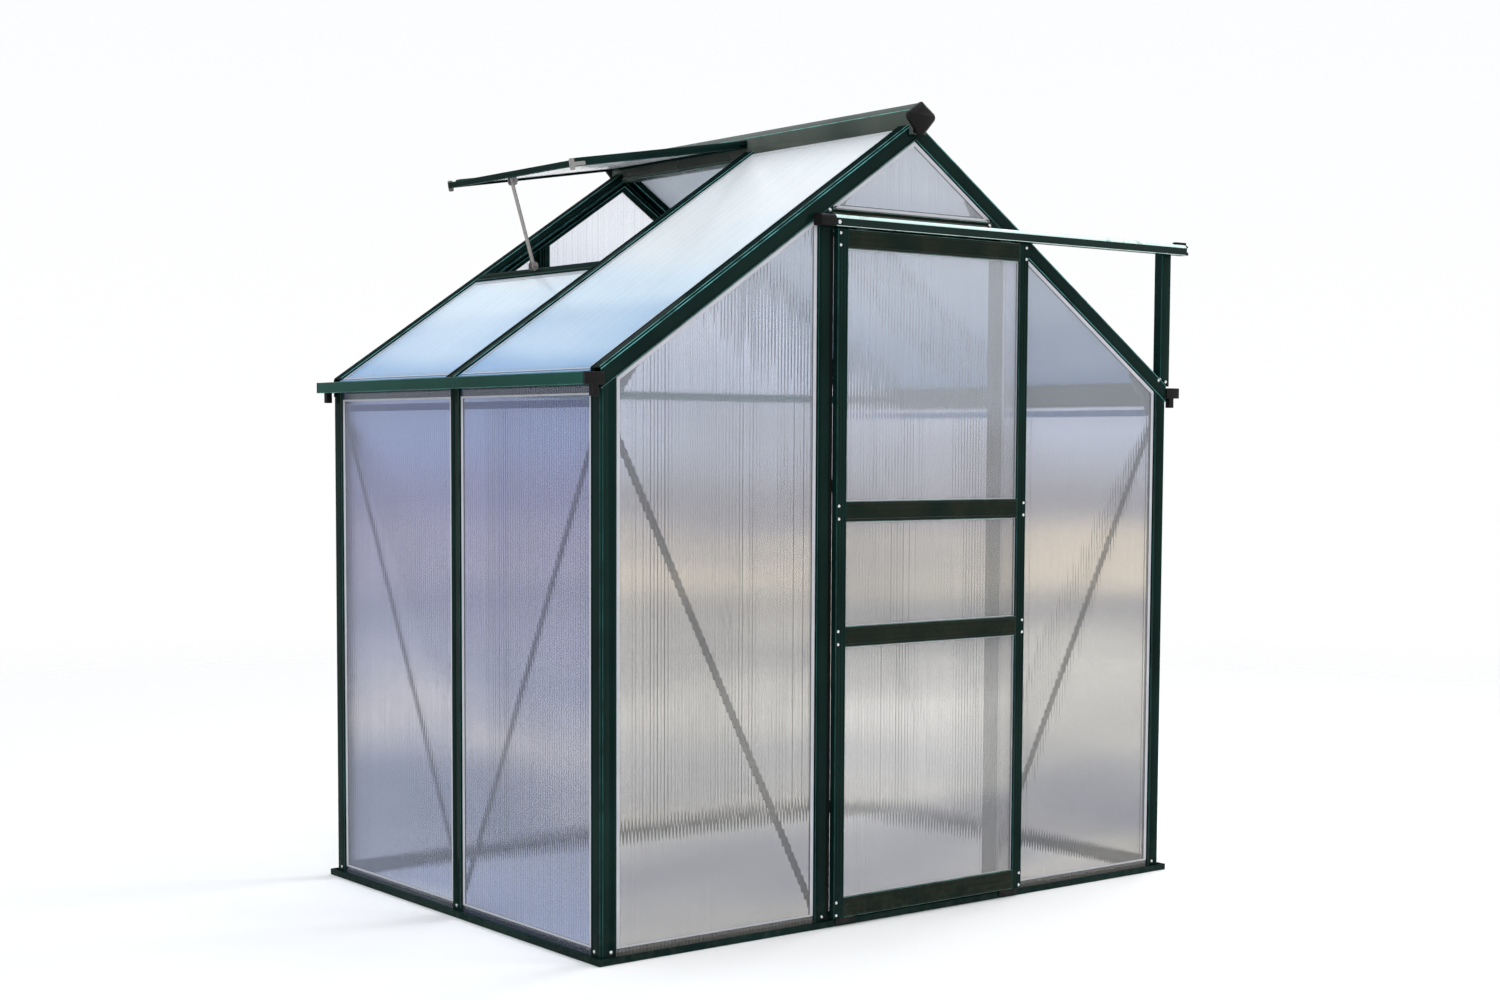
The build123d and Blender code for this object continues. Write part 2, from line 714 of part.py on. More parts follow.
# Sliding door
def door_section(face, grooves):
    """Hollow door bar drawn across its ribbed face and from front to back, with panel grooves."""
    groove = PANEL + 2 * GLAZING_SLACK
    low = (DOOR_DEPTH - groove) / 2
    high = low + groove
    near = GLAZING_GROOVE if 0 in grooves else 0
    far = face - (GLAZING_GROOVE if 1 in grooves else 0)
    section = rectangle(0, 0, face, DOOR_DEPTH)
    for share in door_groove_shares:
        start = share * face - FACE_GROOVE / 2
        section = section - rectangle(start, 0, start + FACE_GROOVE, GROOVE_DEPTH)
    if 0 in grooves:
        section = section - rectangle(0, low, near, high)
    if 1 in grooves:
        section = section - rectangle(far, low, face, high)
    return section - rectangle(near + DOOR_WALL, DOOR_WALL, far - DOOR_WALL, DOOR_DEPTH - DOOR_WALL)


def rectangle(x0, y0, x1, y1):
    return outline((x0, y0), (x1, y0), (x1, y1), (x0, y1))


def door_rail(foot, face, grooves):
    right_end = door_right - STILE_FACE
    place = Plane((right_end, door_front, foot), x_dir=(0, 0, 1), z_dir=(-1, 0, 0))
    return extrude(place * door_section(face, grooves), amount=DOOR_WIDTH - 2 * STILE_FACE)


def door_pane(low, high):
    """Pane whose edges sit in the grooves of two stiles and two rails."""
    bite = GLAZING_GROOVE - GLAZING_SLACK
    front = door_middle - PANEL / 2
    return box(
        (DOOR_LEFT + STILE_FACE - bite, front, low - bite),
        (door_right - STILE_FACE + bite, front + PANEL, high + bite),
    )


def door_hanger(middle):
    """Plate on the top rail with the axle of a roller pair."""
    axle_height = track_foot + WALL + ROLLER_CLEARANCE + ROLLER_RADIUS
    plate = box(
        (middle - HANGER_WIDTH / 2, door_middle - HANGER_PLATE / 2, door_top),
        (middle + HANGER_WIDTH / 2, door_middle + HANGER_PLATE / 2, axle_height + 2 * AXLE_RADIUS),
    )
    axle = Pos(middle, door_middle, axle_height) * Rot(X=90) * Cylinder(
        AXLE_RADIUS, HANGER_PLATE + 2 * ROLLER_WIDTH
    )
    wheel = Cylinder(ROLLER_RADIUS, ROLLER_WIDTH) - Cylinder(AXLE_RADIUS + GLAZING_SLACK, ROLLER_WIDTH)
    offset = (HANGER_PLATE + ROLLER_WIDTH) / 2
    wheels = [
        Pos(middle, door_middle + side * offset, axle_height) * Rot(X=90) * wheel
        for side in (-1, 1)
    ]
    return plate + axle, wheels


def door_guide(left):
    """Shoe under the bottom rail that straddles the sill's outer lip."""
    lip_front = -BASE_DEPTH / 2
    lip_back = lip_front + WALL
    low = WALL + GUIDE_LIFT
    shoe = box(
        (left, lip_front - GUIDE_CLEARANCE - GUIDE_LEG, low),
        (left + GUIDE_LENGTH, lip_back + GUIDE_CLEARANCE + GUIDE_LEG, DOOR_FOOT),
    )
    slot = box(
        (left, lip_front - GUIDE_CLEARANCE, low),
        (left + GUIDE_LENGTH, lip_back + GUIDE_CLEARANCE, SILL_LIP + GUIDE_CLEARANCE),
    )
    return shoe - slot


def build_door():
    base = Plane((DOOR_LEFT, door_front, DOOR_FOOT), x_dir=(1, 0, 0), z_dir=(0, 0, 1))
    stile = extrude(base * door_section(STILE_FACE, (1,)), amount=door_height)
    centre = Plane(((DOOR_LEFT + door_right) / 2, 0, 0), z_dir=(1, 0, 0))
    top_foot = door_top - TOP_RAIL_FACE
    upper_foot = DOOR_FOOT + upper_rail_share * door_height
    lower_foot = DOOR_FOOT + lower_rail_share * door_height
    save("door_stiles", stile, mirror(stile, centre))
    save(
        "door_rails",
        door_rail(top_foot, TOP_RAIL_FACE, (0,)),
        door_rail(upper_foot, RAIL_FACE, (0, 1)),
        door_rail(lower_foot, RAIL_FACE, (0, 1)),
        door_rail(DOOR_FOOT, RAIL_FACE, (1,)),
    )
    save(
        "door_panes",
        door_pane(DOOR_FOOT + RAIL_FACE, lower_foot),
        door_pane(lower_foot + RAIL_FACE, upper_foot),
        door_pane(upper_foot + RAIL_FACE, top_foot),
    )
    left, left_wheels = door_hanger(DOOR_LEFT + HANGER_INSET)
    right, right_wheels = door_hanger(door_right - HANGER_INSET)
    save("door_hangers", left, right)
    save("door_rollers", *left_wheels, *right_wheels)
    right_guide = door_guide(door_right - GUIDE_INSET - GUIDE_LENGTH)
    save("door_guides", door_guide(DOOR_LEFT + GUIDE_INSET), right_guide)


# Door track
def track_outline(inset, rounding):
    """Outline of the track in Y and Z, drawn inside its outer faces, rounded at its top front."""
    shape = rectangle(
        -wall_y - track_depth + inset, track_foot + inset, -wall_y - inset, track_foot + TRACK_HEIGHT - inset
    )
    corner = shape.vertices().sort_by(Axis.X)[:2].sort_by(Axis.Y)[-1]
    return fillet(corner, rounding)


def along_x(section, low, high):
    """Extrude an outline drawn in Y and Z from one X to another."""
    return extrude(Plane((low, 0, 0), x_dir=(0, 1, 0), z_dir=(1, 0, 0)) * section, amount=high - low)


def door_track():
    slot = rectangle(
        door_middle - TRACK_SLOT / 2, track_foot, door_middle + TRACK_SLOT / 2, track_foot + WALL
    )
    section = track_outline(0, TRACK_ROUND) - track_outline(WALL, TRACK_ROUND - WALL) - slot
    return along_x(section, TRACK_LEFT, TRACK_RIGHT)


def track_end_block():
    """Left end of the track: a solid block of the track's own outline."""
    return along_x(track_outline(0, TRACK_ROUND), TRACK_LEFT - TRACK_END_BLOCK, TRACK_LEFT)


def track_end_cap():
    """Right end cap: notched at its end, with a stop tongue that lies on the track."""
    high = TRACK_RIGHT + TRACK_CAP
    top = track_foot + TRACK_HEIGHT
    middle = track_foot + TRACK_HEIGHT / 2
    front = -wall_y - track_depth
    notch = box(
        (TRACK_RIGHT + WALL, front, middle - TRACK_CAP_NOTCH / 2), (high, -wall_y, middle + TRACK_CAP_NOTCH / 2)
    )
    near = door_middle - STOP_WIDTH / 2
    tongue = box((TRACK_RIGHT - STOP_TONGUE, near, top), (high, near + STOP_WIDTH, top + STOP_RISE))
    return along_x(track_outline(0, TRACK_ROUND), TRACK_RIGHT, high) - notch + tongue


def track_strut():
    """Short channel that stands on the right rafter and holds the free end of the track."""
    right = wall_x + STRUT_OVERHANG
    left = right - STRUT_FACE
    front = -wall_y
    back = front + STRUT_DEPTH
    plan = outline(
        (left, front), (right, front), (right, back), (right - WALL, back), (right - WALL, front + WALL),
        (left + WALL, front + WALL), (left + WALL, back), (left, back),
    )
    low = roof_height(right)
    post = Pos(0, 0, low) * extrude(plan, amount=track_foot + TRACK_HEIGHT - low)
    slope = prism_along_y(
        outline((left, roof_height(left)), (right, low), (left, low)), front, back
    )
    return post - slope


def both_sides(solid):
    return solid, mirror(solid, LEFT_RIGHT)


def four_corners(name, solid):
    back = mirror(solid, FRONT_BACK)
    save(f"{name}_front_left", solid)
    save(f"{name}_front_right", mirror(solid, LEFT_RIGHT))
    save(f"{name}_back_left", back)
    save(f"{name}_back_right", mirror(back, LEFT_RIGHT))


def build_frame():
    ground_frame()
    four_corners("corner_post", corner_post())
    four_corners("rafter", gable_rafter())
    save("side_studs", *both_sides(side_stud()))
    for side, gutter in zip(("left", "right"), both_sides(eave_gutter())):
        save(f"{side}_gutter", gutter)
    wide_cap = eave_cap(EAVE_CAP_REACH)
    save(
        "gutter_end_caps",
        wide_cap,
        mirror(eave_cap(0), LEFT_RIGHT),
        *both_sides(mirror(wide_cap, FRONT_BACK)),
    )
    save("middle_rafters", *both_sides(mid_rafter()))
    save("ridge_beam", ridge_beam())
    save("ridge_end_caps", ridge_cap(), mirror(ridge_cap(), FRONT_BACK))
    save("door_jambs", *both_sides(door_jamb()))
    save("door_header", door_header())
    save("door_track", door_track())
    save("track_end_caps", track_end_block(), track_end_cap())
    save("track_strut", track_strut())
    save("back_studs", *both_sides(back_stud()))
    save("back_crossbar", back_crossbar())


def build_bracing():
    jamb_foot = JAMB_CENTRE + JAMB_FACE / 2 - channel_width / 2
    save("front_braces", *both_sides(gable_brace(jamb_foot)))
    save("back_braces", *both_sides(mirror(gable_brace(JAMB_CENTRE), FRONT_BACK)))
    front_brace = side_brace()
    save("side_braces", *both_sides(front_brace), *both_sides(mirror(front_brace, FRONT_BACK)))
    save("side_ties", *both_sides(side_tie()))
    save("eave_gussets", *both_sides(eave_gusset()))
    save("header_gussets", *both_sides(header_gusset()))


def build_panels():
    for side, panel in zip(("left", "right"), both_sides(side_panel())):
        save(f"{side}_wall_panels", panel, mirror(panel, FRONT_BACK))
    jamb_edge = JAMB_CENTRE + JAMB_FACE / 2 + PANEL_GAP
    save("front_side_panels", *both_sides(gable_side_panel(jamb_edge)))
    save("front_gable_panel", gable_middle_panel(JAMB_CENTRE - JAMB_FACE / 2 - PANEL_GAP, header_top))
    stud_edge = BAR_FACE / 2 + PANEL_GAP
    back_side = mirror(gable_side_panel(JAMB_CENTRE + stud_edge), FRONT_BACK)
    back_middle = mirror(gable_middle_panel(JAMB_CENTRE - stud_edge, SILL_BENCH), FRONT_BACK)
    save("back_wall_panels", back_middle, *both_sides(back_side))
    gable_edge = wall_y - CORNER_FACE - PANEL_GAP
    ridge_edge = RIDGE_HALF + PANEL_GAP + seat * math.sin(pitch)
    sill_edge = VENT_SILL_OUT + (VENT_SILL_FACE + PANEL_GAP) * math.cos(pitch)
    front = roof_panel(-gable_edge, -stud_edge, ridge_edge)
    rear = roof_panel(stud_edge, gable_edge, ridge_edge)
    save("left_roof_panels", front, roof_panel(stud_edge, gable_edge, sill_edge))
    save("right_roof_panels", mirror(front, LEFT_RIGHT), mirror(rear, LEFT_RIGHT))


os.makedirs("parts", exist_ok=True)
build_frame()
build_bracing()
build_panels()
build_vent()
build_door()
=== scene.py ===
# %% [markdown]
# A small greenhouse: dark green aluminium bars, fluted twin-wall sheets between them, a door that
# slides along a track and a roof vent that is propped open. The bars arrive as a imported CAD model
# in metres, +Z up, with the door gable towards -Y. This lesson dresses that model: it rounds the
# arrises of the bars, builds the fluted sheets, and adds seals, bolts and small fittings.

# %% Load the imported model
import json
import math
import random

import bmesh
import bpy
from mathutils import Matrix, Vector

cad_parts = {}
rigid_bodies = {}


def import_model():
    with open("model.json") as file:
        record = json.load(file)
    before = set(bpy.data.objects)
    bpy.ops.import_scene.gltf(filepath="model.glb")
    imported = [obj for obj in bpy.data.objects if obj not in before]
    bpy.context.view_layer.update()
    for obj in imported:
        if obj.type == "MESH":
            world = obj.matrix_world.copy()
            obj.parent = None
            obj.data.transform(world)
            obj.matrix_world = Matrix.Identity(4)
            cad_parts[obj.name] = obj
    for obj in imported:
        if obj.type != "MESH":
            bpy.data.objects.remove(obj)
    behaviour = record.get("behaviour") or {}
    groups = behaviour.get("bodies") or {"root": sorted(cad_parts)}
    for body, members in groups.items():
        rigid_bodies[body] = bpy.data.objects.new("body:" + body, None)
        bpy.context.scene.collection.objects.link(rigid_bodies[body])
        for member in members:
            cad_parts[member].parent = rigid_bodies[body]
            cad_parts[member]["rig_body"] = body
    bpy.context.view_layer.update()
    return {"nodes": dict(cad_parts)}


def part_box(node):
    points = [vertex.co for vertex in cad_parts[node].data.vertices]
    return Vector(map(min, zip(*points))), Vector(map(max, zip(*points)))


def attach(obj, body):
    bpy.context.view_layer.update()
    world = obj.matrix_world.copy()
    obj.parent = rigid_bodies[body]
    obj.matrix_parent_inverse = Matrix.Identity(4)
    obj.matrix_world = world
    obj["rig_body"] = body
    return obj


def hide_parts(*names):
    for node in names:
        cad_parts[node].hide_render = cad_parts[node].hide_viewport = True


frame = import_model()
nodes = frame["nodes"]
MM = 0.001

# %% [markdown]
# The camera stands a little below the eaves, in front of the near left corner. Place, turn and
# focal length were solved from the corners of the sills, the gutters, the ridge and the door in the
# picture. It is easiest to write a solved camera as three directions: the way it looks, its right
# and its up. Blender's camera looks along its own -Z. The posts lean apart a little towards the
# top, as they do for a lens that looks down and is shifted up, so the camera has a small upward
# shift.

# %% Camera
CAMERA_PLACE = Vector((-3.6330, -4.6665, 1.1812))
CAMERA_YAW, CAMERA_PITCH, CAMERA_ROLL = (math.radians(v) for v in (37.812, -3.789, 0.259))
FOCAL_PIXELS, IMAGE_WIDTH, RISE_PIXELS = 2158.4, 1500.0, 87.3
SENSOR_WIDTH = 36.0

look = Vector((
    math.sin(CAMERA_YAW) * math.cos(CAMERA_PITCH),
    math.cos(CAMERA_YAW) * math.cos(CAMERA_PITCH),
    math.sin(CAMERA_PITCH),
))
level = Vector((math.cos(CAMERA_YAW), -math.sin(CAMERA_YAW), 0))
upright = level.cross(look)
right = math.cos(CAMERA_ROLL) * level + math.sin(CAMERA_ROLL) * upright
up = math.cos(CAMERA_ROLL) * upright - math.sin(CAMERA_ROLL) * level

camera_data = bpy.data.cameras.new("camera")
camera_data.sensor_width = SENSOR_WIDTH
camera_data.lens = FOCAL_PIXELS / IMAGE_WIDTH * SENSOR_WIDTH
camera_data.shift_y = RISE_PIXELS / IMAGE_WIDTH
camera = bpy.data.objects.new("camera", camera_data)
bpy.context.scene.collection.objects.link(camera)
turn = Matrix((right, up, -look)).transposed().to_4x4()
camera.matrix_world = Matrix.Translation(CAMERA_PLACE) @ turn
bpy.context.scene.camera = camera
print("camera lens", round(camera_data.lens, 2), "mm")

# %% [markdown]
# Fluted plastic shows little colour of its own: it shows the light around it, smeared sideways by
# the flutes. So the light matters as much as the material. The room is a soft white dome that turns
# pale blue overhead and the floor is pale. A warm panel stands to the right of the door gable. A
# second one hangs over the right eave, where the top arrises of the bars that run along the gable
# mirror it into the camera, and a weak third one lights the left slope of the roof.

# %% Floor, dome and lights
scene = bpy.context.scene
scene.view_settings.view_transform = "Standard"
scene.cycles.max_bounces = 8
scene.cycles.adaptive_threshold = 0.1
scene.cycles.diffuse_bounces = 2
scene.cycles.glossy_bounces = 3
scene.cycles.transmission_bounces = 8
scene.cycles.sample_clamp_indirect = 4.0

FLOOR_RADIUS, FLOOR_CORNERS, FLOOR_DROP = 9.0, 64, 0.5 * MM
FADE_START, FADE_END = 1.6, 0.95 * FLOOR_RADIUS


def stage_floor():
    """A pale round floor that fades into the white dome."""
    mesh = bpy.data.meshes.new("stage_floor")
    turns = [2 * math.pi * i / FLOOR_CORNERS for i in range(FLOOR_CORNERS)]
    rim = [(FLOOR_RADIUS * math.cos(t), FLOOR_RADIUS * math.sin(t), 0) for t in turns]
    mesh.from_pydata(rim, [], [list(range(FLOOR_CORNERS))])
    floor = bpy.data.objects.new("stage_floor", mesh)
    scene.collection.objects.link(floor)
    floor.location.z = -FLOOR_DROP
    material = bpy.data.materials.new("pale_floor")
    material.use_nodes = True
    tree = material.node_tree
    surface = tree.nodes["Principled BSDF"]
    surface.inputs["Base Color"].default_value = (0.90, 0.89, 0.88, 1)
    surface.inputs["Roughness"].default_value = 0.9
    distance = tree.nodes.new("ShaderNodeVectorMath")
    distance.operation = "LENGTH"
    tree.links.new(tree.nodes.new("ShaderNodeTexCoord").outputs["Object"], distance.inputs[0])
    fade = tree.nodes.new("ShaderNodeMapRange")
    fade.interpolation_type = "SMOOTHSTEP"
    fade.inputs["From Min"].default_value = FADE_START
    fade.inputs["From Max"].default_value = FADE_END
    fade.inputs["To Min"].default_value = 1.0
    fade.inputs["To Max"].default_value = 0.0
    tree.links.new(distance.outputs["Value"], fade.inputs["Value"])
    tree.links.new(fade.outputs["Result"], surface.inputs["Alpha"])
    mesh.materials.append(material)


def dome_light():
    """White round the horizon, pale blue overhead."""
    world = bpy.data.worlds.new("dome")
    scene.world = world
    world.use_nodes = True
    tree = world.node_tree
    background = tree.nodes["Background"]
    direction = tree.nodes.new("ShaderNodeTexCoord")
    split = tree.nodes.new("ShaderNodeSeparateXYZ")
    ramp = tree.nodes.new("ShaderNodeValToRGB")
    stops = ramp.color_ramp
    stops.elements[0].position, stops.elements[0].color = 0.0, (1.0, 1.0, 1.0, 1)
    stops.elements[1].position, stops.elements[1].color = 1.0, (0.88, 0.94, 1.0, 1)
    low_sky = stops.elements.new(0.25)
    low_sky.color = (0.97, 0.98, 1.0, 1)
    tree.links.new(direction.outputs["Generated"], split.inputs["Vector"])
    tree.links.new(split.outputs["Z"], ramp.inputs["Fac"])
    tree.links.new(ramp.outputs["Color"], background.inputs["Color"])
    background.inputs["Strength"].default_value = 1.0


def soft_panel(name, place, aim, size, power, colour, mirrored=False):
    """A panel of light; only a mirrored one is seen in the glossy coats."""
    light = bpy.data.lights.new(name, "AREA")
    light.shape = "RECTANGLE"
    light.size, light.size_y = size
    light.energy = power
    light.color = colour
    lamp = bpy.data.objects.new(name, light)
    scene.collection.objects.link(lamp)
    lamp.location = place
    lamp.rotation_euler = (Vector(aim) - Vector(place)).to_track_quat("-Z", "Y").to_euler()
    lamp.visible_transmission = False
    lamp.visible_glossy = mirrored


stage_floor()
dome_light()
soft_panel(
    "warm_panel", place=(4.2, -5.6, 3.2), aim=(0.2, 0, 0.9), size=(2.2, 2.2), power=110,
    colour=(1.0, 0.95, 0.88),
)
soft_panel(
    "right_panel", place=(2.9, -0.3, 4.9), aim=(0, 0, 1.5), size=(1.8, 1.8), power=110,
    colour=(0.95, 0.98, 1.0), mirrored=True,
)
soft_panel(
    "sky_panel", place=(-3.4, -0.6, 5.2), aim=(0, 0, 1.3), size=(2.6, 2.6), power=50,
    colour=(0.94, 0.97, 1.0),
)
print("floor, dome and three soft panels")

# %% [markdown]
# Several finishes share the same small effects, so each effect is a node group with named inputs
# and outputs. Powder coat, plastic and mill aluminium all need a fine grain. Dust gathers low on
# every piece. The arris strips that this script rounds carry a float attribute, and a third group
# turns it into a mask for a painted highlight with a little wear: the pale line on an arris stands
# for the light it catches as much as for rubbing, and these lines draw a bar.

# %% Shared effects as node groups
def new_group(name, inputs, outputs):
    group = bpy.data.node_groups.new(name, "ShaderNodeTree")
    for label, value in inputs:
        socket = group.interface.new_socket(label, in_out="INPUT", socket_type="NodeSocketFloat")
        socket.default_value = value
    for label in outputs:
        group.interface.new_socket(label, in_out="OUTPUT", socket_type="NodeSocketFloat")
    return group, group.nodes.new("NodeGroupInput"), group.nodes.new("NodeGroupOutput")


def remap(tree, value, low, high):
    node = tree.nodes.new("ShaderNodeMapRange")
    node.inputs["From Min"].default_value = low
    node.inputs["From Max"].default_value = high
    tree.links.new(value, node.inputs["Value"])
    return node.outputs["Result"]


def times(tree, a, b):
    node = tree.nodes.new("ShaderNodeMath")
    node.operation = "MULTIPLY"
    for socket, value in zip(node.inputs, (a, b)):
        if isinstance(value, (int, float)):
            socket.default_value = value
        else:
            tree.links.new(value, socket)
    return node.outputs["Value"]


def noise(tree, scale, detail):
    place = tree.nodes.new("ShaderNodeTexCoord").outputs["Object"]
    node = tree.nodes.new("ShaderNodeTexNoise")
    node.inputs["Detail"].default_value = detail
    tree.links.new(place, node.inputs["Vector"])
    if isinstance(scale, (int, float)):
        node.inputs["Scale"].default_value = scale
    else:
        tree.links.new(scale, node.inputs["Scale"])
    return node.outputs["Fac"]


def make_grain():
    settings = [("Scale", 900.0), ("Patch Scale", 6.0)]
    group, into, out = new_group("grain", settings, ["Height", "Patches"])
    group.links.new(noise(group, into.outputs["Scale"], 2.0), out.inputs["Height"])
    patches = remap(group, noise(group, into.outputs["Patch Scale"], 4.0), 0.3, 0.7)
    group.links.new(patches, out.inputs["Patches"])
    return group


def make_low_dust():
    group, into, out = new_group("low_dust", [("Reach", 0.25)], ["Mask"])
    geometry = group.nodes.new("ShaderNodeNewGeometry")
    place = group.nodes.new("ShaderNodeSeparateXYZ")
    group.links.new(geometry.outputs["Position"], place.inputs["Vector"])
    fade = group.nodes.new("ShaderNodeMapRange")
    fade.inputs["From Min"].default_value = 0.0
    fade.inputs["To Min"].default_value = 1.0
    fade.inputs["To Max"].default_value = 0.0
    group.links.new(into.outputs["Reach"], fade.inputs["From Max"])
    group.links.new(place.outputs["Z"], fade.inputs["Value"])
    speckle = remap(group, noise(group, 55.0, 5.0), 0.42, 0.68)
    group.links.new(times(group, fade.outputs["Result"], speckle), out.inputs["Mask"])
    return group


# Painted highlight: a mask for the pale line on the arrises, which stands for the light they catch,
# broken up a little like wear.
def make_arris_glint_line():
    group, into, out = new_group("arris_glint_line", [("Amount", 1.0)], ["Mask"])
    attribute = group.nodes.new("ShaderNodeAttribute")
    attribute.attribute_name = "arris_glint_and_wear"
    line_breakup = remap(group, noise(group, 24.0, 4.0), 0.2, 0.62)
    strip = times(group, attribute.outputs["Fac"], line_breakup)
    group.links.new(times(group, strip, into.outputs["Amount"]), out.inputs["Mask"])
    return group


GRAIN, LOW_DUST, ARRIS_GLINT_LINE = make_grain(), make_low_dust(), make_arris_glint_line()
print("groups:", GRAIN.name, LOW_DUST.name, ARRIS_GLINT_LINE.name)

# %% [markdown]
# A finish is a Principled BSDF whose colour is mixed in layers: the base, a patchy second tone, a
# pale line on the arrises, which is a painted highlight with a little wear, and dust near the
# ground. One function lays those layers, and each finish calls it with its own colours and
# amounts. Constant values, such as the coat or the index of refraction, are set on the shader
# itself.

# %% Layered finishes
def place_group(tree, group, **values):
    node = tree.nodes.new("ShaderNodeGroup")
    node.node_tree = group
    for label, value in values.items():
        node.inputs[label.replace("_", " ")].default_value = value
    return node.outputs


def blend_colour(tree, mask, under, over):
    node = tree.nodes.new("ShaderNodeMix")
    node.data_type = "RGBA"
    for socket, value in ((node.inputs[6], under), (node.inputs[7], over)):
        if isinstance(value, tuple):
            socket.default_value = (*value, 1.0)
        else:
            tree.links.new(value, socket)
    tree.links.new(mask, node.inputs[0])
    return node.outputs[2]


RELIEF_STRENGTH = 0.35


def layered_finish(name, base, second, arris_glint_and_wear, dust, grain, rough, bump, dust_reach=0.25, **fixed):
    """The arris colour is a painted highlight with a little wear. Arris and dust are (colour,
    amount), grain is (scale, patch scale), rough is (lowest, highest), bump is a height in
    millimetres, and fixed are constants of the shader."""
    material = bpy.data.materials.new(name)
    material.use_nodes = True
    tree = material.node_tree
    surface = tree.nodes["Principled BSDF"]
    fine = place_group(tree, GRAIN, Scale=grain[0], Patch_Scale=grain[1])
    colour = blend_colour(tree, fine["Patches"], base, second)
    line = place_group(tree, ARRIS_GLINT_LINE, Amount=arris_glint_and_wear[1])
    colour = blend_colour(tree, line["Mask"], colour, arris_glint_and_wear[0])
    low = place_group(tree, LOW_DUST, Reach=dust_reach)
    colour = blend_colour(tree, times(tree, low["Mask"], dust[1]), colour, dust[0])
    tree.links.new(colour, surface.inputs["Base Color"])
    spread = remap(tree, fine["Patches"], 0.0, 1.0)
    spread.node.inputs["To Min"].default_value = rough[0]
    spread.node.inputs["To Max"].default_value = rough[1]
    tree.links.new(spread, surface.inputs["Roughness"])
    relief = tree.nodes.new("ShaderNodeBump")
    relief.inputs["Strength"].default_value = RELIEF_STRENGTH
    relief.inputs["Distance"].default_value = bump * MM
    tree.links.new(fine["Height"], relief.inputs["Height"])
    tree.links.new(relief.outputs["Normal"], surface.inputs["Normal"])
    for label, value in fixed.items():
        surface.inputs[label.replace("_", " ")].default_value = value
    return material


GREY_DUST = (0.12, 0.12, 0.10)
COAT_GRAIN = 1400.0
SATIN = (0.20, 0.30)

# In every finish the arris colour is a painted highlight with a little wear: the coats mirror
# little, so these pale lines stand in for the glints along the bars.
GREEN_COAT = layered_finish(
    "green_coat", base=(0.0024, 0.0115, 0.0095), second=(0.0052, 0.0200, 0.0165),
    arris_glint_and_wear=((0.022, 0.090, 0.082), 0.85), dust=(GREY_DUST, 0.10), grain=(COAT_GRAIN, 5.0),
    rough=SATIN, bump=0.05, dust_reach=0.12, Specular_IOR_Level=0.0, Coat_Weight=0.12,
    Coat_Roughness=0.12,
)
RAFTER_COAT = layered_finish(
    "rafter_coat", base=(0.0022, 0.0100, 0.0086), second=(0.0050, 0.0180, 0.0150),
    arris_glint_and_wear=((0.110, 0.340, 0.340), 1.2), dust=(GREY_DUST, 0.10), grain=(COAT_GRAIN, 5.0),
    rough=SATIN, bump=0.05, Specular_IOR_Level=0.0, Coat_Weight=0.12, Coat_Roughness=0.12,
)
GUTTER_COAT = layered_finish(
    "gutter_coat", base=(0.0030, 0.0330, 0.0250), second=(0.0050, 0.0560, 0.0420),
    arris_glint_and_wear=((0.060, 0.240, 0.200), 0.85), dust=(GREY_DUST, 0.12), grain=(COAT_GRAIN, 4.0),
    rough=SATIN, bump=0.05, Specular_IOR_Level=0.05,
)
# Painted reflection: the pale grey second tone, in large patches, stands for the sky mirrored on
# the side of the ridge; the arris colour is its painted highlight.
RIDGE_SHEEN_COAT = layered_finish(
    "ridge_sheen_coat", base=(0.0050, 0.0200, 0.0160), second=(0.0900, 0.1050, 0.0920),
    arris_glint_and_wear=((0.160, 0.440, 0.370), 0.9), dust=(GREY_DUST, 0.12), grain=(COAT_GRAIN, 1.7),
    rough=SATIN, bump=0.05, Specular_IOR_Level=0.08,
)
RAIL_COAT = layered_finish(
    "rail_coat", base=(0.0025, 0.0110, 0.0085), second=(0.0150, 0.0180, 0.0115),
    arris_glint_and_wear=((0.120, 0.260, 0.225), 0.9), dust=(GREY_DUST, 0.12), grain=(COAT_GRAIN, 9.0),
    rough=(0.20, 0.32), bump=0.05, dust_reach=0.12, Specular_IOR_Level=0.05,
)
# Painted highlight: the pale mint arris colour, at a strong amount, is painted on the rolled crown
# of the track for the sky that it mirrors.
CROWN_GLINT_COAT = layered_finish(
    "crown_glint_coat", base=(0.0022, 0.0105, 0.0088), second=(0.0048, 0.0185, 0.0152),
    arris_glint_and_wear=((0.55, 0.73, 0.69), 1.8), dust=(GREY_DUST, 0.12), grain=(COAT_GRAIN, 5.0),
    rough=(0.18, 0.26), bump=0.05, Specular_IOR_Level=0.12,
)
BLACK_PLASTIC = layered_finish(
    "black_plastic", base=(0.0080, 0.0075, 0.0078), second=(0.0125, 0.0120, 0.0122),
    arris_glint_and_wear=((0.045, 0.048, 0.050), 0.6), dust=(GREY_DUST, 0.15), grain=(2200.0, 9.0),
    rough=(0.38, 0.50), bump=0.12, Specular_IOR_Level=0.06,
)
MILL_ALUMINIUM = layered_finish(
    "mill_aluminium", base=(0.10, 0.14, 0.13), second=(0.15, 0.19, 0.18),
    arris_glint_and_wear=((0.45, 0.50, 0.48), 0.5), dust=((0.40, 0.38, 0.34), 0.25), grain=(700.0, 12.0),
    rough=(0.30, 0.45), bump=0.04, Metallic=0.7,
)
